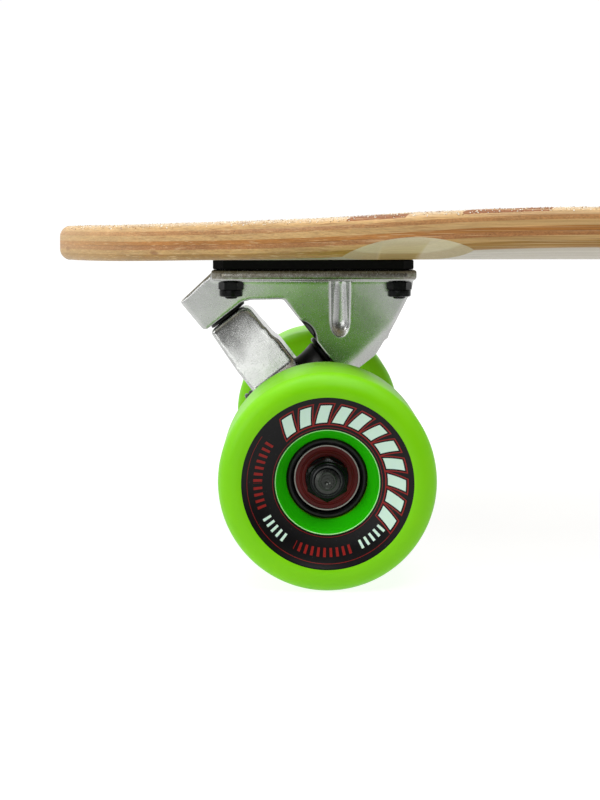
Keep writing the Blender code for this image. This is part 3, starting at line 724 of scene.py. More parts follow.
def turned(sections, steps, axis="Z", closed=False, bm=None):
    """Rings about an axis, from sections of (size, height).

    A size is a radius, a function that gives one for each angle, or 0 for a point on the
    axis. Closed sections go round a bore and back to the first.
    """
    order = {"X": (0, 1, 2), "Y": (1, 2, 0), "Z": (2, 0, 1)}[axis]
    if bm is None:
        bm = bmesh.new()
    rings = []
    for size, height in sections:
        points = []
        for step in range(1 if size == 0 else steps):
            angle = 2 * math.pi * step / steps
            radius = size(angle) if callable(size) else size
            points.append((radius * math.cos(angle), radius * math.sin(angle)))
        rings.append(ring_at(bm, order, height, points))
    pairs = list(zip(rings, rings[1:]))
    if closed:
        pairs.append((rings[-1], rings[0]))
    for low, high in pairs:
        for step in range(steps):
            after = (step + 1) % steps
            corners = [low[step % len(low)], low[after % len(low)],
                       high[after % len(high)], high[step % len(high)]]
            bm.faces.new(list(dict.fromkeys(corners)))
    return bm


def rod(radius, low, high, steps, axis="Z"):
    """A plain round bar."""
    return turned([(0, low), (radius, low), (radius, high), (0, high)], steps, axis)


def mirrored(side):
    """Sections followed by their mirror image, back from the other side."""
    return side + [(size, -height) for size, height in reversed(side)]


def turned_mesh(name, sections, steps, sharp=28):
    """A mesh turned about Y round a bore, with the material of its name."""
    return mesh_of(name, turned(sections, steps, "Y", closed=True), name, sharp=sharp)


def hexagon(half_flats, cap):
    """Radius of a hexagon at each angle, turned down to a cap at its corners."""
    return lambda angle: min(cap, half_flats / math.cos(angle % (math.pi / 3) - math.pi / 6))


def hex_sides(half_flats, low, high, ends=(True, True)):
    """Sections up a hexagon whose corners are chamfered at its ends."""
    corner = half_flats / HEX_SHARE
    flat = HEX_FLAT * half_flats
    rise = (corner - flat) * math.tan(math.radians(30))

    def chamfer(chamfered, end, inward):
        shares = [i / 5 for i in range(6)] if chamfered else [1]
        return [(hexagon(half_flats, flat + (corner - flat) * s), end + inward * rise * s * chamfered)
                for s in shares]

    return chamfer(ends[0], low, 1) + chamfer(ends[1], high, -1)[::-1]


def half_flats_of(low, high):
    """Half the flats of a hexagon whose corners reach as far as its CAD box does along Y."""
    return (high.y - low.y) / 2 * HEX_SHARE


def thread_sections(radius, pitch, low, high):
    """Sections along a screw thread that fades out at both ends."""
    rows = max(2, round((high - low) / pitch * THREAD_ROWS))
    sections = []
    for row in range(rows + 1):
        height = low + (high - low) * row / rows
        fade = min(1, (height - low) / pitch, (high - height) / pitch)
        sections.append((thread_size(radius, THREAD_DEPTH * pitch * fade, height / pitch), height))
    return sections


def thread_size(radius, depth, phase):
    """Radius of a thread at each angle."""
    return lambda angle: radius - depth * abs(2 * ((phase - angle / (2 * math.pi)) % 1) - 1)


def quarter(steps):
    """Angles from 0 to a right angle."""
    return [math.pi / 2 * i / steps for i in range(steps + 1)]


def arc(middle, radius, start, end, steps):
    """Points along a round stretch, angles in degrees."""
    angles = [math.radians(start + (end - start) * i / steps) for i in range(steps + 1)]
    return [(middle[0] + radius * math.cos(a), middle[1] + radius * math.sin(a)) for a in angles]


def rounded(corners, radii, steps=5):
    """An outline with each corner rounded by its own radius."""
    points = []
    count = len(corners)
    for i, (corner, radius) in enumerate(zip(corners, radii)):
        here = Vector(corner)
        before = (Vector(corners[i - 1]) - here).normalized()
        after = (Vector(corners[(i + 1) % count]) - here).normalized()
        half = before.angle(after) / 2
        if not radius:
            points.append(tuple(here))
            continue
        reach = radius / math.tan(half)
        middle = here + (before + after).normalized() * radius / math.sin(half)
        first = here + before * reach - middle
        last = here + after * reach - middle
        turn = first.angle_signed(last)
        for step in range(steps + 1):
            spin = Matrix.Rotation(-turn * step / steps, 2)
            points.append(tuple(middle + spin @ first))
    return points


def walls(bm, rings):
    """Walls between rings of corners."""
    for low, high in zip(rings, rings[1:]):
        for i, corner in enumerate(low):
            j = (i + 1) % len(low)
            bm.faces.new((corner, low[j], high[j], high[i]))


def closed_walls(bm, rings):
    """Walls between rings of corners, with a cap on each end."""
    walls(bm, rings)
    bm.faces.new(rings[0][::-1])
    bm.faces.new(rings[-1])
    return bm


def prism(outline, low, high, axis="Z"):
    """An outline of (first, second) points stood up along an axis."""
    order = {"Y": (1, 0, 2), "Z": (2, 0, 1)}[axis]
    bm = bmesh.new()
    return closed_walls(bm, [ring_at(bm, order, height, outline) for height in (low, high)])


def job(operation, bm, space, key):
    """A Boolean operation with a hidden shape."""
    shape = link("tool", mesh_of("tool", bm, key))
    shape.matrix_world = space
    shape.hide_render = True
    return operation, shape


def union(bm, space=IDENTITY, key="cast"):
    """Adds a shape."""
    return job("UNION", bm, space, key)


def cut(bm, space=IDENTITY, key="cast"):
    """Takes a shape away."""
    return job("DIFFERENCE", bm, space, key)


def carve(target, jobs, *after):
    """Applies Booleans, then other modifiers, and returns the finished mesh."""
    for operation, shape in jobs:
        modifier = target.modifiers.new("shape", "BOOLEAN")
        modifier.operation = operation
        modifier.object = shape
        modifier.material_mode = "TRANSFER"
    for kind, settings in after:
        modifier = target.modifiers.new(kind, kind)
        for key, value in settings.items():
            setattr(modifier, key, value)
    bpy.context.view_layer.update()
    evaluated = target.evaluated_get(bpy.context.evaluated_depsgraph_get())
    mesh = bpy.data.meshes.new_from_object(evaluated)
    for shape in [target] + [shape for _, shape in jobs]:
        bpy.data.objects.remove(shape)
    return mesh


def casting(name, bm, jobs):
    """Joins and cuts a casting's shapes, then melts their edges together."""
    mesh = carve(link(name, mesh_of(name, bm, "cast")), jobs,
                 ("REMESH", {"mode": "VOXEL", "voxel_size": CAST_VOXEL, "adaptivity": 0.0}),
                 ("SMOOTH", {"factor": 0.5, "iterations": CAST_SMOOTHING}),
                 ("DECIMATE", {"ratio": CAST_KEPT}))
    mesh.name = name
    mesh.materials.clear()
    mesh.materials.append(MATERIALS["cast"])
    mesh.shade_smooth()
    return mesh


def draw_in(mesh, core, half_width, inset):
    """Moves a casting's flanks in by an inset that depends on the place, but not its core."""
    for vertex in mesh.vertices:
        share = clamp((abs(vertex.co.y) - core) / (half_width - core))
        vertex.co.y -= math.copysign(inset(vertex.co) * share, vertex.co.y)


# ---------------------------------------------------------------- deck

def half_width(x):
    """Of the deck's plan outline."""
    from_tip = max(0, DECK_HALF_LENGTH - abs(x))
    if from_tip >= DECK_TAPER:
        return DECK_HALF_WIDTH
    inner, outer = DECK_TAPER_POWERS
    return DECK_HALF_WIDTH * (1 - (1 - from_tip / DECK_TAPER) ** inner) ** outer


def concave(x, y):
    """Rise of the deck at a place in plan."""
    from_tip = DECK_HALF_LENGTH - abs(x)
    end = clamp((from_tip - CONCAVE_END) / CONCAVE_FADE)
    share = CONCAVE_END_SHARE + (1 - CONCAVE_END_SHARE) * end * end * (3 - 2 * end)
    side = max(0, abs(y) - CONCAVE_FLAT) / (DECK_HALF_WIDTH - CONCAVE_FLAT)
    droop = clamp(1 - from_tip / TIP_DROOP_REACH)
    return CONCAVE_RISE * side ** 2 * share - TIP_DROOP * droop * droop * (3 - 2 * droop)


def deck_point(x, y, up):
    """A place in the laminate, up from its underside."""
    return Vector((x, y, DECK_BOTTOM + up + concave(x, y)))


def far_edge(x):
    """A point on the far edge of the plan outline and its outward normal."""
    step = 0.0002
    slope = (half_width(x + step) - half_width(x - step)) / (2 * step)
    return Vector((x, half_width(x))), Vector((-slope, 1)).normalized()


def deck_outline():
    """Points round the deck with their outward normals, from the nose along the far rail."""
    straight = DECK_HALF_LENGTH - DECK_TAPER
    tip_steps, middle_steps = 40, 44
    right = [straight * i / middle_steps for i in range(middle_steps)]
    right += [straight + DECK_TAPER * math.sin(a) for a in quarter(tip_steps)[:-1]]
    stations = [-x for x in reversed(right[1:])] + right
    far = [far_edge(x) for x in stations]
    nose = (Vector((-DECK_HALF_LENGTH, 0)), Vector((-1, 0)))
    tail = (Vector((DECK_HALF_LENGTH, 0)), Vector((1, 0)))
    near = [(Vector((p.x, -p.y)), Vector((n.x, -n.y))) for p, n in reversed(far)]
    return [nose, *far, tail, *near]


def deck_shell():
    """The whole laminate before its holes and wells, with rail, top and underside materials."""
    corner = [(DECK_EDGE * (1 - math.sin(a)), DECK_EDGE * (1 - math.cos(a))) for a in quarter(8)]
    rail = corner + [(inset, DECK_THICKNESS - up) for inset, up in reversed(corner)]
    outline = deck_outline()
    count = len(outline)
    bm = bmesh.new()
    rings = [[bm.verts.new(deck_point(*(point - normal * inset), up)) for point, normal in outline]
             for inset, up in rail]
    walls(bm, rings)
    cells = 22
    shares = [1 - 2 * i / cells for i in range(1, cells)]
    for ring, up, index in ((rings[0], 0, 2), (rings[-1], DECK_THICKNESS, 1)):
        rows = [[ring[0]]]
        for i in range(1, count // 2):
            far, near = ring[i], ring[count - i]
            inside = [bm.verts.new(deck_point(far.co.x, far.co.y * share, up)) for share in shares]
            rows.append([far, *inside, near])
        rows.append([ring[count // 2]])
        for before, after in zip(rows, rows[1:]):
            for k in range(max(len(before), len(after)) - 1):
                corners = [before[min(k, len(before) - 1)], before[min(k + 1, len(before) - 1)],
                           after[min(k + 1, len(after) - 1)], after[min(k, len(after) - 1)]]
                face = bm.faces.new(list(dict.fromkeys(corners)))
                face.material_index = index
    return bm


def deck_bolt_hole(truck, number):
    """A countersunk hole through the deck."""
    low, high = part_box(f"{truck}_deck_bolt_{number}")
    middle = (low + high) / 2
    head = (high.x - low.x) / 2 + 3 * HAIR
    hole = [(0, -0.02), (HOLE_RADIUS, -0.02), (HOLE_RADIUS, HOLE_RADIUS - head), (head, 0),
            (head, 0.01), (0, 0.01)]
    return cut(turned(hole, 32), Matrix.Translation((middle.x, middle.y, high.z)), "well")


def wheel_well(truck, side):
    """A sanded hollow under one rail, which fades out towards the middle of the deck."""
    axle = centre(f"{truck}_axle")
    x = axle.x - math.copysign(WELL_OFFSET, axle.x)
    y = half_width(x)
    tilt = math.atan2(WELL_DEPTH, WELL_REACH)
    drop = WELL_RADIUS / math.cos(tilt) - WELL_DEPTH - concave(x, y)
    reach = 1.5 * WELL_REACH
    spot = Matrix.Translation((x, side * y, DECK_BOTTOM - drop)) @ Matrix.Rotation(side * tilt, 4, "X")
    return cut(rod(WELL_RADIUS, -reach, reach, 144, "Y"), spot, "well")


def build_deck():
    """The laminated deck with its countersunk holes and sanded wheel wells."""
    shell = link("deck_laminate", mesh_of("deck_laminate", deck_shell(), "rail", "top", "under", "well"))
    jobs = []
    for truck in TRUCKS:
        jobs += [deck_bolt_hole(truck, number) for number in BOLTS]
        jobs += [wheel_well(truck, side) for side in (-1, 1)]
    mesh = carve(shell, jobs)
    bm = bmesh.new()
    bm.from_mesh(mesh)
    well = next(i for i, m in enumerate(mesh.materials) if m == MATERIALS["well"])
    for edge in bm.edges:
        kinds = {face.material_index == well for face in edge.link_faces}
        edge.smooth = len(kinds) == 1
    for face in bm.faces:
        face.smooth = True
    bm.to_mesh(mesh)
    bm.free()
    place("deck_laminate", mesh, BODY_BOARD, stands_for=["deck"])


def build_grit():
    """Mineral grains that stand out of the clear coat, thickest along the rails."""
    rng = random.Random(7)
    bm = bmesh.new()
    straight = DECK_HALF_LENGTH - 0.004
    for _ in range(GRIT_GRAINS):
        x = rng.uniform(-straight, straight)
        inset = GRAIN_INSET + rng.expovariate(1 / GRAIN_SPREAD)
        point, normal = far_edge(x)
        spot = point - normal * min(inset, point.y)
        if rng.random() < 0.5:
            spot.y = -spot.y
        fall = max(0, DECK_EDGE - inset)
        up = DECK_THICKNESS - DECK_EDGE + math.sqrt(DECK_EDGE ** 2 - fall ** 2)
        middle = deck_point(*spot, up)
        size = rng.uniform(*GRAIN_SIZES)
        turn = Matrix.Rotation(rng.uniform(0, math.pi), 3, Vector((rng.random(), rng.random(), 1)))
        corners = []
        for axis in range(3):
            for sign in (-1, 1):
                arm = Vector((0, 0, 0))
                arm[axis] = sign * size * rng.uniform(0.7, 1.2)
                corners.append(bm.verts.new(middle + turn @ arm))
        for a in (0, 1):
            for b in (2, 3):
                for c in (4, 5):
                    bm.faces.new((corners[a], corners[b], corners[c]))
    place("deck_grit", mesh_of("deck_grit", bm, "grit", sharp=10), BODY_BOARD)


# ---------------------------------------------------------------- truck, fixed to the deck

def bolt_holes(truck, key):
    """Holes for a truck's four deck bolts."""
    return [cut(rod(HOLE_RADIUS, *HOLE_ENDS, 32), bolt_axis(truck, number), key)
            for number in BOLTS]


def cut_corners(x_ends, half, corner):
    """A rectangle in plan with its four corners cut off."""
    low, high = x_ends
    return [(high - corner, half), (low + corner, half), (low, half - corner), (low, corner - half),
            (low + corner, -half), (high - corner, -half), (high, corner - half), (high, half - corner)]


def slab(x_ends, half, corner, low, high, bevels):
    """A plate with cut corners and its lower and upper edges bevelled."""
    under, over = bevels
    mitre = 0.41                    # how much shorter a cut corner gets as the outline is inset
    bm = bmesh.new()
    rings = []
    for height, inset in ((low, under), (low + under, 0), (high - over, 0), (high, over)):
        ends = (x_ends[0] + inset, x_ends[1] - inset)
        outline = cut_corners(ends, half - inset, corner - inset * mitre)
        rings.append(ring_at(bm, (2, 0, 1), height, outline))
    return closed_walls(bm, rings)


def spine_outline():
    """Side outline of the casting under the plate: pivot block, spine and kingpin wedge."""
    lean, drop = math.cos(STEER_ANGLE), math.sin(STEER_ANGLE)

    def tilted(along, up):
        return (along * lean + up * drop, -along * drop + up * lean)

    corners = [
        (-0.0412, 0.0640), (-0.0540, 0.0520), tilted(BLOCK_FACE, -0.0102),
        tilted(BLOCK_FACE, 0.0080), (-0.0270, 0.0528), tilted(-0.0507, SEAT_HEIGHT),
        tilted(WEDGE_END, SEAT_HEIGHT), tilted(WEDGE_END, 0.0356), (0.0243, 0.0372),
        (0.0258, 0.0381), (0.0259, 0.0394), (0.0288, 0.0451), (0.0345, 0.0566),
        (0.0352, 0.0606), (0.0352, 0.0630),
    ]
    radii = [0, 0.0006, 0.0016, 0, 0.001, 0.0008, 0.0012, 0.001, 0, 0.0008, 0.0008, 0, 0, 0.001, 0]
    return rounded(corners, radii)


def flank_cuts(side, tilted):
    """Cuts in one flank of the baseplate: groove, scallop and the wedge's rounded corner."""
    under_plate = PLATE_BOTTOM - HAIR
    groove = [(GROOVE_RADIUS * math.sin(a), GROOVE_LOW + GROOVE_TIP * (1 - math.cos(a)))
              for a in quarter(8)]
    groove += [(GROOVE_RADIUS, under_plate), (0, under_plate)]
    groove_at = (GROOVE_AT, side * (SPINE_HALF_WIDTH + GROOVE_RADIUS - GROOVE_DEPTH), 0)
    scallop_at = (SCALLOP_AT, side * (SPINE_HALF_WIDTH - PAST), SCALLOP_AXIS)
    inner, far = SPINE_HALF_WIDTH - WEDGE_ROUNDING, SPINE_HALF_WIDTH + PAST
    start, end = WEDGE_END - WEDGE_ROUNDING, WEDGE_END + PAST
    corner = arc((start, inner), WEDGE_ROUNDING, 90, 0, 10) + [(end, inner), (end, far), (start, far)]
    corner = [(along, side * across) for along, across in corner]
    return [
        cut(turned(groove, 48), Matrix.Translation(groove_at)),
        cut(rod(SCALLOP_RADIUS, -2 * PAST, 2 * PAST, 64, "Y"), tilted @ Matrix.Translation(scallop_at)),
        cut(prism(corner, 0.015, 0.072), tilted),
    ]


def baseplate_mesh(truck):
    """Baseplate casting, in the truck's space."""
    level, tilted_world = SPACES[truck]
    tilted = level.inverted() @ tilted_world
    plate = slab(PLATE_ENDS, PLATE_HALF_WIDTH, PLATE_CORNER, PLATE_BOTTOM, PLATE_TOP, (PLATE_BEVEL, 0.0004))
    cup_low = extent(f"{truck}_pivot_cup", tilted_world)[0].x - 3 * HAIR
    low, high = extent(f"{truck}_kingpin", tilted_world)
    head_seat = high.z - KINGPIN_HEAD - 3 * HAIR
    pocket = hexagon(half_flats_of(low, high) + 3 * HAIR, 1)
    passage = [(0, 0.015), (KINGPIN_BORE, 0.015), (KINGPIN_BORE, head_seat), (pocket, head_seat),
               (pocket, 0.066), (0, 0.066)]
    jobs = [
        union(plate), *bolt_holes(truck, "cast"),
        *flank_cuts(-1, tilted), *flank_cuts(1, tilted),
        cut(rod(CUP_RADIUS, BLOCK_FACE + PAST, cup_low, 48, "X"), tilted),
        cut(turned(passage, 48), tilted @ kingpin_axis(truck)),
    ]
    spine = prism(spine_outline(), -SPINE_HALF_WIDTH, SPINE_HALF_WIDTH, "Y")
    mesh = casting("baseplate_casting", spine, jobs)
    draw_in(mesh, SPINE_CORE, SPINE_HALF_WIDTH, lambda spot: SPINE_DRAFT * max(0, PLATE_BOTTOM - spot.z))
    return mesh


def build_riser(truck):
    """Rubber riser pad with its bolt holes."""
    level = SPACES[truck][0]
    node = f"{truck}_riser_pad"
    low, high = extent(node, level)
    pad = slab((low.x, high.x), high.y, PLATE_CORNER, low.z, high.z, (0.0003, 0.0003))
    mesh = carve(link("riser", mesh_of("riser", pad, "riser")), bolt_holes(truck, "riser"))
    place(f"{node}_rubber", mesh, BODY_BOARD, level, [node])


def build_deck_bolt(truck, number):
    """Countersunk socket bolt and its nylon lock nut."""
    level = SPACES[truck][0]
    spot = level @ bolt_axis(truck, number)
    node = f"{truck}_deck_bolt_{number}"
    low, high = extent(node, level)
    nut_low, nut_high = extent(f"{truck}_deck_lock_nut_{number}", level)
    head, top = (high.x - low.x) / 2, high.z
    socket, depth = hexagon(0.0016, 1), 0.0018
    sections = [(0, low.z), (BOLT_SHANK - 0.0006, low.z)]
    sections += thread_sections(BOLT_SHANK, 0.0008, low.z + 0.0004, nut_high.z)
    sections += [(BOLT_SHANK, top - (head - BOLT_SHANK) - 0.0003), (head, top - 0.0003),
                 (head - 0.0002, top), (socket, top), (socket, top - depth), (0, top - depth - 0.0005)]
    place_node(node, "screw", turned(sections, 36), "black_steel", spot)
    flats = min(half_flats_of(nut_low, nut_high), (nut_high.x - nut_low.x) / 2 * HEX_SHARE)
    bottom, hex_low = nut_low.z, nut_high.z - 0.0033
    bore, edge = BOLT_SHANK + 2 * HAIR, 0.0006
    sections = [(bore, nut_high.z)] + hex_sides(flats, hex_low, nut_high.z)[::-1] + [(0.0044, hex_low)]
    sections += [(0.0038 + edge * math.cos(a), bottom + edge - edge * math.sin(a))
                 for a in (0, 0.5, 1.0, math.pi / 2)]
    sections += [(0.0031, bottom), (bore, bottom + edge)]
    place_node(f"{truck}_deck_lock_nut_{number}", "hex", turned(sections, 72, closed=True),
               "black_steel", spot)


def build_bushing(truck, where, spot):
    """Barrel bushing between the board and the hanger, baked where it stands at rest."""
    node = f"{truck}_bushing_{where}"
    low, high = extent(node, SPACES[truck][1])
    outer, tall = (high.y - low.y) / 2, high.z - low.z
    edge = 0.0009
    profile = [(KINGPIN_BORE, low.z)] + arc((outer - edge, low.z + edge), edge, -90, 0, 5)
    profile += [(outer - 0.0009 * math.sin(math.pi * i / 8), low.z + edge + (tall - 2 * edge) * i / 8)
                for i in range(1, 8)]
    profile += arc((outer - edge, high.z - edge), edge, 0, 90, 5) + [(KINGPIN_BORE, high.z)]
    barrel = link(f"{node}_barrel", mesh_of(node, turned(profile, 96, closed=True), "urethane"))
    barrel.matrix_world = spot
    ends = (spot @ Vector((0, 0, high.z)), spot @ Vector((0, 0, low.z)))
    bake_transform(barrel)
    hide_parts(node)


def build_bushing_washer(truck, where, spot):
    """Thin cup washer."""
    node = f"{truck}_bushing_washer_{where}"
    low, high = extent(node, SPACES[truck][1])
    outer, bottom, top = (high.y - low.y) / 2, low.z, high.z
    bore, thin = KINGPIN_BORE, 0.0004
    profile = [(bore, bottom), (outer - thin, bottom), (outer, bottom + thin), (outer, top - thin),
               (outer - thin, top), (outer - 0.0012, top), (outer - 0.0016, top - HAIR),
               (bore + 0.0003, top - HAIR), (bore, top - 3 * HAIR)]
    place_node(node, "cup", turned(profile, 96, closed=True), "black_steel", spot)


def build_kingpin(truck):
    """Kingpin bolt, bushings, cup washers and lock nut."""
    tilted = SPACES[truck][1]
    spot = tilted @ kingpin_axis(truck)
    node = f"{truck}_kingpin"
    low, high = extent(node, tilted)
    flats = half_flats_of(low, high)
    seat = high.z - KINGPIN_HEAD
    sections = [(0, low.z), (KINGPIN_RADIUS - 0.0012, low.z)]
    sections += thread_sections(KINGPIN_RADIUS, FINE_PITCH, low.z + 0.0006, low.z + KINGPIN_THREAD)
    sections += [(KINGPIN_RADIUS, seat)] + hex_sides(flats, seat, high.z, (False, True)) + [(0, high.z)]
    place_node(node, "bolt", turned(sections, 72), "bright_steel", spot)
    for where in ("boardside", "roadside"):
        build_bushing(truck, where, spot)
        build_bushing_washer(truck, where, spot)
    node = f"{truck}_kingpin_lock_nut"
    low, high = extent(node, tilted)
    bore, hex_low = KINGPIN_BORE, low.z + 0.002
    sections = [(bore, high.z)] + hex_sides(flats, hex_low, high.z)[::-1]
    sections += [(flats - 0.0009, hex_low), (flats - 0.0009, low.z + 0.0007), (flats - 0.0016, low.z),
                 (bore + 0.0008, low.z), (bore, low.z + 0.0007)]
    place_node(node, "hex", turned(sections, 72, closed=True), "black_steel", spot)


def build_pivot_cup(truck):
    """Flanged cup in the baseplate's block, which the hanger's pivot turns in."""
    tilted = SPACES[truck][1]
    node = f"{truck}_pivot_cup"
    low, high = extent(node, tilted)
    flange = BLOCK_FACE + 3 * HAIR
    wide, narrow = (high.y - low.y) / 2, 0.0068
    bore = PIVOT_RADIUS + 3 * HAIR
    cup = [(0, low.x), (narrow - 0.0006, low.x), (narrow, low.x + 0.0006), (narrow, flange),
           (wide - 0.0003, flange), (wide, flange + 0.0003), (wide, high.x - 0.0003),
           (wide - 0.0003, high.x), (bore, high.x), (bore, low.x + 0.0018), (0, low.x + 0.0018)]
    place_node(node, "liner", turned(cup, 72, "X"), "urethane", tilted)


# ---------------------------------------------------------------- truck, steering

def hanger_mesh(truck):
    """Hanger casting, in the tilted space: arm, kingpin ring, axle housing and pivot."""
    corners = [
        (ARM_TOP, -ARM_TOP_HALF_HEIGHT), (ARM_TOP, ARM_TOP_HALF_HEIGHT - ARM_CHAMFER),
        (ARM_TOP + ARM_CHAMFER, ARM_TOP_HALF_HEIGHT), (PAD_START - 0.001, ARM_HALF_HEIGHT - 0.0006),
        (PAD_START, PAD_HEIGHT), (PAD_END, PAD_HEIGHT), (ARM_FOOT, 0.0050), (ARM_FOOT, -0.0060),
        (ARM_FOOT - 0.003, -ARM_HALF_HEIGHT), (PAD_START, -ARM_HALF_HEIGHT),
    ]
    arm = prism(corners, -ARM_HALF_WIDTH, ARM_HALF_WIDTH, "Y")
    for corner in arm.verts:
        corner.co.y *= 1 + ARM_DRAFT * (corner.co.x - (ARM_TOP + ARM_FOOT) / 2)
    bmesh.ops.bevel(arm, geom=arm.edges[:], offset=0.0011, segments=3, profile=0.5, affect="EDGES")
    low, high, edge = -ARM_HALF_HEIGHT, PAD_HEIGHT - 0.0002, 0.0012
    ring = [(0, low), (RING_RADIUS - edge, low), (RING_RADIUS, low + edge),
            (RING_RADIUS, high - edge), (RING_RADIUS - edge, high), (0, high)]
    end = HOUSING_END
    housing = mirrored([(0, end), (0.0079, end), (0.0085, end - 0.0006), *HOUSING])[::-1]
    pivot_low = extent(f"{truck}_hanger", SPACES[truck][1])[0].x
    pin = [(PIVOT_RADIUS * math.sin(a), pivot_low + 0.003 * (1 - math.cos(a))) for a in quarter(6)]
    pin += [(PIVOT_RADIUS, ARM_TOP + 0.004), (0, ARM_TOP + 0.004)]
    deep, bore = 0.014, 0.0070
    seats = mirrored([(0, deep), (SEAT_RADIUS, deep), (SEAT_RADIUS, WEB_HALF_HEIGHT),
                      (bore, WEB_HALF_HEIGHT)])[::-1]
    at = kingpin_axis(truck)
    jobs = [
        union(turned(ring, 128), at), union(turned(housing, 64, "Y")),
        union(turned(pin, 48, "X")), cut(turned(seats, 96), at),
        cut(rod(AXLE_RADIUS + 3 * HAIR, -end - PAST, end + PAST, 32, "Y")),
    ]
    mesh = casting("hanger_casting", arm, jobs)

    def crown(spot):
        return ARM_CROWN * clamp((ARM_TOP + ARM_CROWN_REACH - spot.x) / ARM_CROWN_REACH) ** 2

    draw_in(mesh, ARM_CORE, ARM_HALF_WIDTH, crown)
    return mesh


def build_axle(truck):
    """Steel axle with a threaded stretch at each end."""
    tilted = SPACES[truck][1]
    node = f"{truck}_axle"
    end = extent(node, tilted)[1].y
    thread_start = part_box(f"{truck}_far_bearing_outer")[1].y + 0.0005
    thread = thread_sections(AXLE_RADIUS, FINE_PITCH, thread_start, end - 0.0004)
    face = [(0, 0.0011), (0.0008, 0.0004), (0.0011, 0.0002), (0.0020, 0.0002), (0.0022, 0), (0.0027, 0),
            (0.0029, 0.0002)]
    sections = mirrored([(size, end - depth) for size, depth in face] + thread[::-1])
    place_node(node, "rod", turned(sections[::-1], 72, "Y"), "axle_steel", tilted,
               f"{truck}_hanger")


# ---------------------------------------------------------------- wheels

def tyre_mesh():
    """Urethane tyre, its printed face towards -Y."""
    low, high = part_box("nose_near_tyre")
    radius, half = (high.z - low.z) / 2, (high.y - low.y) / 2
    bore, flange = CORE_RADIUS + 3 * HAIR, CORE_FLANGE_RADIUS + 3 * HAIR
    cone_low = Vector((bore + 0.0002, CORE_HALF_WIDTH + 0.0007))
    cone_high = Vector((FACE_INNER - 0.0004, half - FACE_DISH - 0.0007))
    side = [(flange, CORE_FLANGE_HALF + 3 * HAIR), (bore, CORE_FLANGE_HALF + 3 * HAIR),
            (bore, CORE_HALF_WIDTH + 0.0004), tuple(cone_low)]
    for i in range(1, 7):
        share = i / 6
        point = cone_low.lerp(cone_high, share)
        side.append((point.x + 0.0004 * math.sin(math.pi * share), point.y))
    start = FACE_INNER + 0.0004
    side += [(FACE_INNER - 0.0001, half - FACE_DISH - 0.0001), (start, half - FACE_DISH + 0.00015)]
    for i in range(1, 13):
        share = i / 12
        sag = FACE_SAG * math.sin(math.pi * share)
        dish = FACE_DISH * (1 - share) ** 0.92 + 0.00035 * share - 0.00015 * (1 - share)
        side.append((start + (FACE_OUTER - start) * share, half - dish - sag))
    side.append((FACE_OUTER + 0.0005, half - 0.0001))
    side += arc((radius - LIP_RADIUS, half - LIP_RADIUS), LIP_RADIUS, 90, 0, 14)
    return turned_mesh("tyre", mirrored(side), 160, sharp=40)


def core_mesh():
    """Black plastic core with its bearing seats and raised rims."""
    edge, web = 0.0005, 0.0047
    side = [(0.009, web), (BEARING_SEAT, web), (BEARING_SEAT, CORE_HALF_WIDTH - edge),
            (BEARING_SEAT + edge, CORE_HALF_WIDTH), (CORE_RADIUS - edge, CORE_HALF_WIDTH),
            (CORE_RADIUS, CORE_HALF_WIDTH - edge), (CORE_RADIUS, CORE_FLANGE_HALF),
            (CORE_FLANGE_RADIUS, CORE_FLANGE_HALF)]
    return turned_mesh("core", mirrored(side), 96)


def race_mesh():
    """Outer and inner race of a bearing, about its own middle."""
    low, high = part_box("nose_near_bearing_outer")
    radius, half = (high.x - low.x) / 2, (high.y - low.y) / 2
    edge, bore = 0.0004, AXLE_RADIUS + HAIR
    groove_top, groove_low = half - 0.001, half - 0.0014
    outer = [(radius, half - edge), (radius - edge, half), (RACE_OUTER, half), (RACE_OUTER, groove_top),
             (RACE_OUTER + edge, groove_low)]
    inner = [(bore, half), (RACE_INNER, half), (RACE_INNER, groove_top), (RACE_INNER - edge, groove_low)]
    bm = turned(mirrored(outer), 96, "Y", closed=True)
    return mesh_of("races", turned(mirrored(inner), 96, "Y", closed=True, bm=bm), "race")


def seal_mesh():
    """Seal between the races, with a raised lip and a groove."""
    low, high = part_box("nose_near_bearing_outer")
    half = (high.y - low.y) / 2 - SHIELD_RECESS
    face = [(RACE_INNER + HAIR, half - 0.0003), (0.0063, half), (0.0081, half), (0.0084, half - 0.0002),
            (0.0087, half - 0.0002), (0.0089, half), (RACE_OUTER - HAIR, half - 0.0001)]
    return turned_mesh("seal", mirrored(face), 96, sharp=20)


def washer_mesh():
    """Thin axle washer."""
    half, radius, edge = 0.00038, 0.0070, 0.0002
    side = [(AXLE_BORE, half), (radius - edge, half), (radius, half - edge)]
    return mesh_of("washer", turned(mirrored(side), 72, "Y", closed=True), "black_steel")


def nut_mesh():
    """Axle lock nut with a nylon collar, its collar towards -Y, from its inner face."""
    low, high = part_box("nose_near_axle_nut")
    tall = high.y - low.y
    flats, hex_height, edge = NUT_HALF_FLATS, tall - 0.0021, 0.0008
    sections = [(AXLE_BORE, 0)] + hex_sides(flats, 0, hex_height) + [(flats - 0.0004, hex_height)]
    sections += arc((flats - 0.0012, tall - edge), edge, 0, 90, 5)
    sections += [(0.0050, tall), (0.0050, tall - 0.0003), (AXLE_BORE, tall - 0.0003)]
    steel = [(size, -height) for size, height in reversed(sections)]
    return mesh_of("axle_nut", turned(steel, 96, "Y", closed=True), "black_steel")


def nylon_mesh():
    """Nylon insert seen inside the collar of an axle nut, from the nut's inner face."""
    low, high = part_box("nose_near_axle_nut")
    tall = high.y - low.y
    profile = [(AXLE_RADIUS + HAIR, 0.0016 - tall), (0.0049, 0.0016 - tall), (0.0049, 0.0001 - tall),
               (0.0046, -tall - 0.00015), (0.0043, -tall - 0.00005)]
    return turned_mesh("nylon", profile, 72)


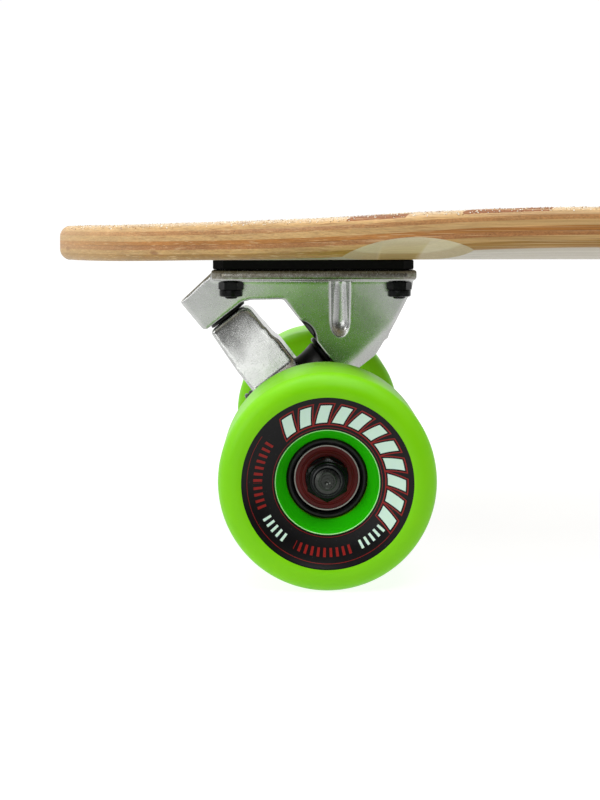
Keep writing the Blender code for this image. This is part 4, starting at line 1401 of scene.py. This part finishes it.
def build_wheel(truck, side):
    """A wheel with its bearings, washers and nut."""
    wheel = f"{truck}_{side}"
    body, hanger = f"{wheel}_wheel", f"{truck}_hanger"
    near = side == "near"
    facing = Matrix.Rotation(0 if near else math.pi, 4, "Z")
    middle = centre(f"{wheel}_tyre")

    def face(node, outer):
        """Y of a node's outer or inner face."""
        low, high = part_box(node)
        return low.y if near == outer else high.y

    spot = Matrix.Translation(middle) @ facing
    place(f"{wheel}_tyre_urethane", SHARED["tyre"], body, spot, [f"{wheel}_tyre"])
    place(f"{wheel}_core_plastic", SHARED["core"], body, spot, [f"{wheel}_wheel_core"])
    for where in ("inner", "outer"):
        node = f"{wheel}_bearing_{where}"
        spot = Matrix.Translation(centre(node)) @ facing
        place(f"{node}_races", SHARED["race"], body, spot, [node])
        place(f"{node}_seals", SHARED["seal"], body, spot)
    node = f"{wheel}_axle_nut"
    nut_face = face(node, False)
    spot = Matrix.Translation((middle.x, nut_face, middle.z)) @ facing
    place(f"{node}_steel", SHARED["nut"], hanger, spot, [node])
    place(f"{node}_nylon", SHARED["nylon"], hanger, spot)
    gaps = {
        "outer": (face(f"{wheel}_bearing_outer", True), nut_face),
        "inner": (face(f"{wheel}_bearing_inner", False), math.copysign(HOUSING_END, middle.y)),
    }
    for label, ends in gaps.items():
        spot = Matrix.Translation((middle.x, sum(ends) / 2, middle.z))
        place(f"{wheel}_axle_washer_{label}", SHARED["washer"], hanger, spot)


SHARED = {"tyre": tyre_mesh(), "core": core_mesh(), "race": race_mesh(), "seal": seal_mesh(),
          "washer": washer_mesh(), "nut": nut_mesh(), "nylon": nylon_mesh(),
          "baseplate": baseplate_mesh("nose"), "hanger": hanger_mesh("nose")}

build_deck()
build_grit()
for truck_name in TRUCKS:
    level_space, tilted_space = SPACES[truck_name]
    place(f"{truck_name}_baseplate_casting", SHARED["baseplate"], BODY_BOARD, level_space,
          [f"{truck_name}_baseplate"])
    place(f"{truck_name}_hanger_casting", SHARED["hanger"], f"{truck_name}_hanger",
          tilted_space, [f"{truck_name}_hanger"])
    build_riser(truck_name)
    for bolt_number in BOLTS:
        build_deck_bolt(truck_name, bolt_number)
    build_kingpin(truck_name)
    build_pivot_cup(truck_name)
    build_axle(truck_name)
    build_wheel(truck_name, "near")
    build_wheel(truck_name, "far")


# ---------------------------------------------------------------- stage, light and camera

FLOOR_FADE = (-0.75, -0.12)         # the floor darkens towards the viewer


def seen_or(tree, seen_value, lighting_value):
    """One value where the viewer sees a surface, and another for the light that it gives."""
    seen = new_field(tree, "ShaderNodeLightPath", output="Is Camera Ray")
    return lighting_value * (1 - seen) + seen * seen_value


def build_stage():
    """Plain white floor that also glows as a light: it gives off less light towards the viewer's side, and
    looks evenly white to the camera.
    """
    bm = bmesh.new()
    bmesh.ops.create_grid(bm, x_segments=1, y_segments=1, size=30)
    mesh = bpy.data.meshes.new("floor")
    bm.to_mesh(mesh)
    bm.free()
    finish = Finish("studio_floor", roughness=0.9, specular_ior_level=0.0, emission_strength=0.88)
    _, y, _ = finish.place.axes()
    cloud = finish.noise(2, 2)
    lit = seen_or(finish.tree, 1.0, y.smooth(*FLOOR_FADE, 0.055, 0.84)) * (cloud * 0.04 + 0.98)
    behind = new_field(finish.tree, "ShaderNodeNewGeometry", output="Backfacing")
    mesh.materials.append(finish.use(
        alpha=1 - behind,
        emission_color=finish.tone(grey(1.0), lit),
        base_color=finish.tone(grey(0.25), lit * 0.5 + 0.5),
    ))
    link("floor", mesh)


def build_light():
    """White surroundings, darker towards the viewer's side, and soft boxes."""
    world = bpy.data.worlds.new("studio")
    bpy.context.scene.world = world
    world.use_nodes = True
    tree = world.node_tree
    _, y, z = new_field(tree, "ShaderNodeTexCoord", output="Generated").axes()
    shade = y.smooth(-0.85, 0.3, 0.04, 1.0)
    overhead = z.smooth(0.35, 0.95, 0.0, 0.5)
    background = tree.nodes["Background"]
    feed(seen_or(tree, 1.02, shade.math("MAXIMUM", overhead) * 1.05), background.inputs["Strength"])
    feed((1, 1, 1, 1), background.inputs["Color"])
    lamps = (
        ("key", (-1.5, -0.9, 0.8), (0.7, 0.7), 9),
        ("front", (0.35, -1.3, 1.7), (0.7, 0.5), 8.5),
        ("card", (-0.44, -1.15, 0.03), (0.8, 0.20), 1.6),
        ("top", (0.0, -0.1, 2.0), (2.2, 1.4), 28),
    )
    for name, offset, size, power in lamps:
        data = bpy.data.lights.new(name, "AREA")
        data.shape = "RECTANGLE"
        data.size, data.size_y = size
        data.energy = power
        lamp = link(name, data)
        lamp.location = NOSE_AXLE + Vector(offset)
        aim = NOSE_AXLE + Vector((0.05, 0, 0.05)) - lamp.location
        lamp.rotation_euler = aim.to_track_quat("-Z", "Y").to_euler()
        lamp.visible_camera = False


def build_camera():
    """A long lens from the near side, level with the deck, over the nose truck."""
    data = bpy.data.cameras.new("camera")
    data.sensor_width = 36
    data.lens = 77.0
    data.shift_y = -0.15
    data.clip_start = 0.01
    camera = link("camera", data)
    camera.location = (NOSE_AXLE.x - 0.0116, -0.6663, 0.119)
    camera.rotation_euler = (math.radians(90 - 2.072), 0, math.radians(-0.30))
    bpy.context.scene.camera = camera


build_stage()
build_light()
build_camera()
bpy.context.scene.view_settings.view_transform = "Standard"
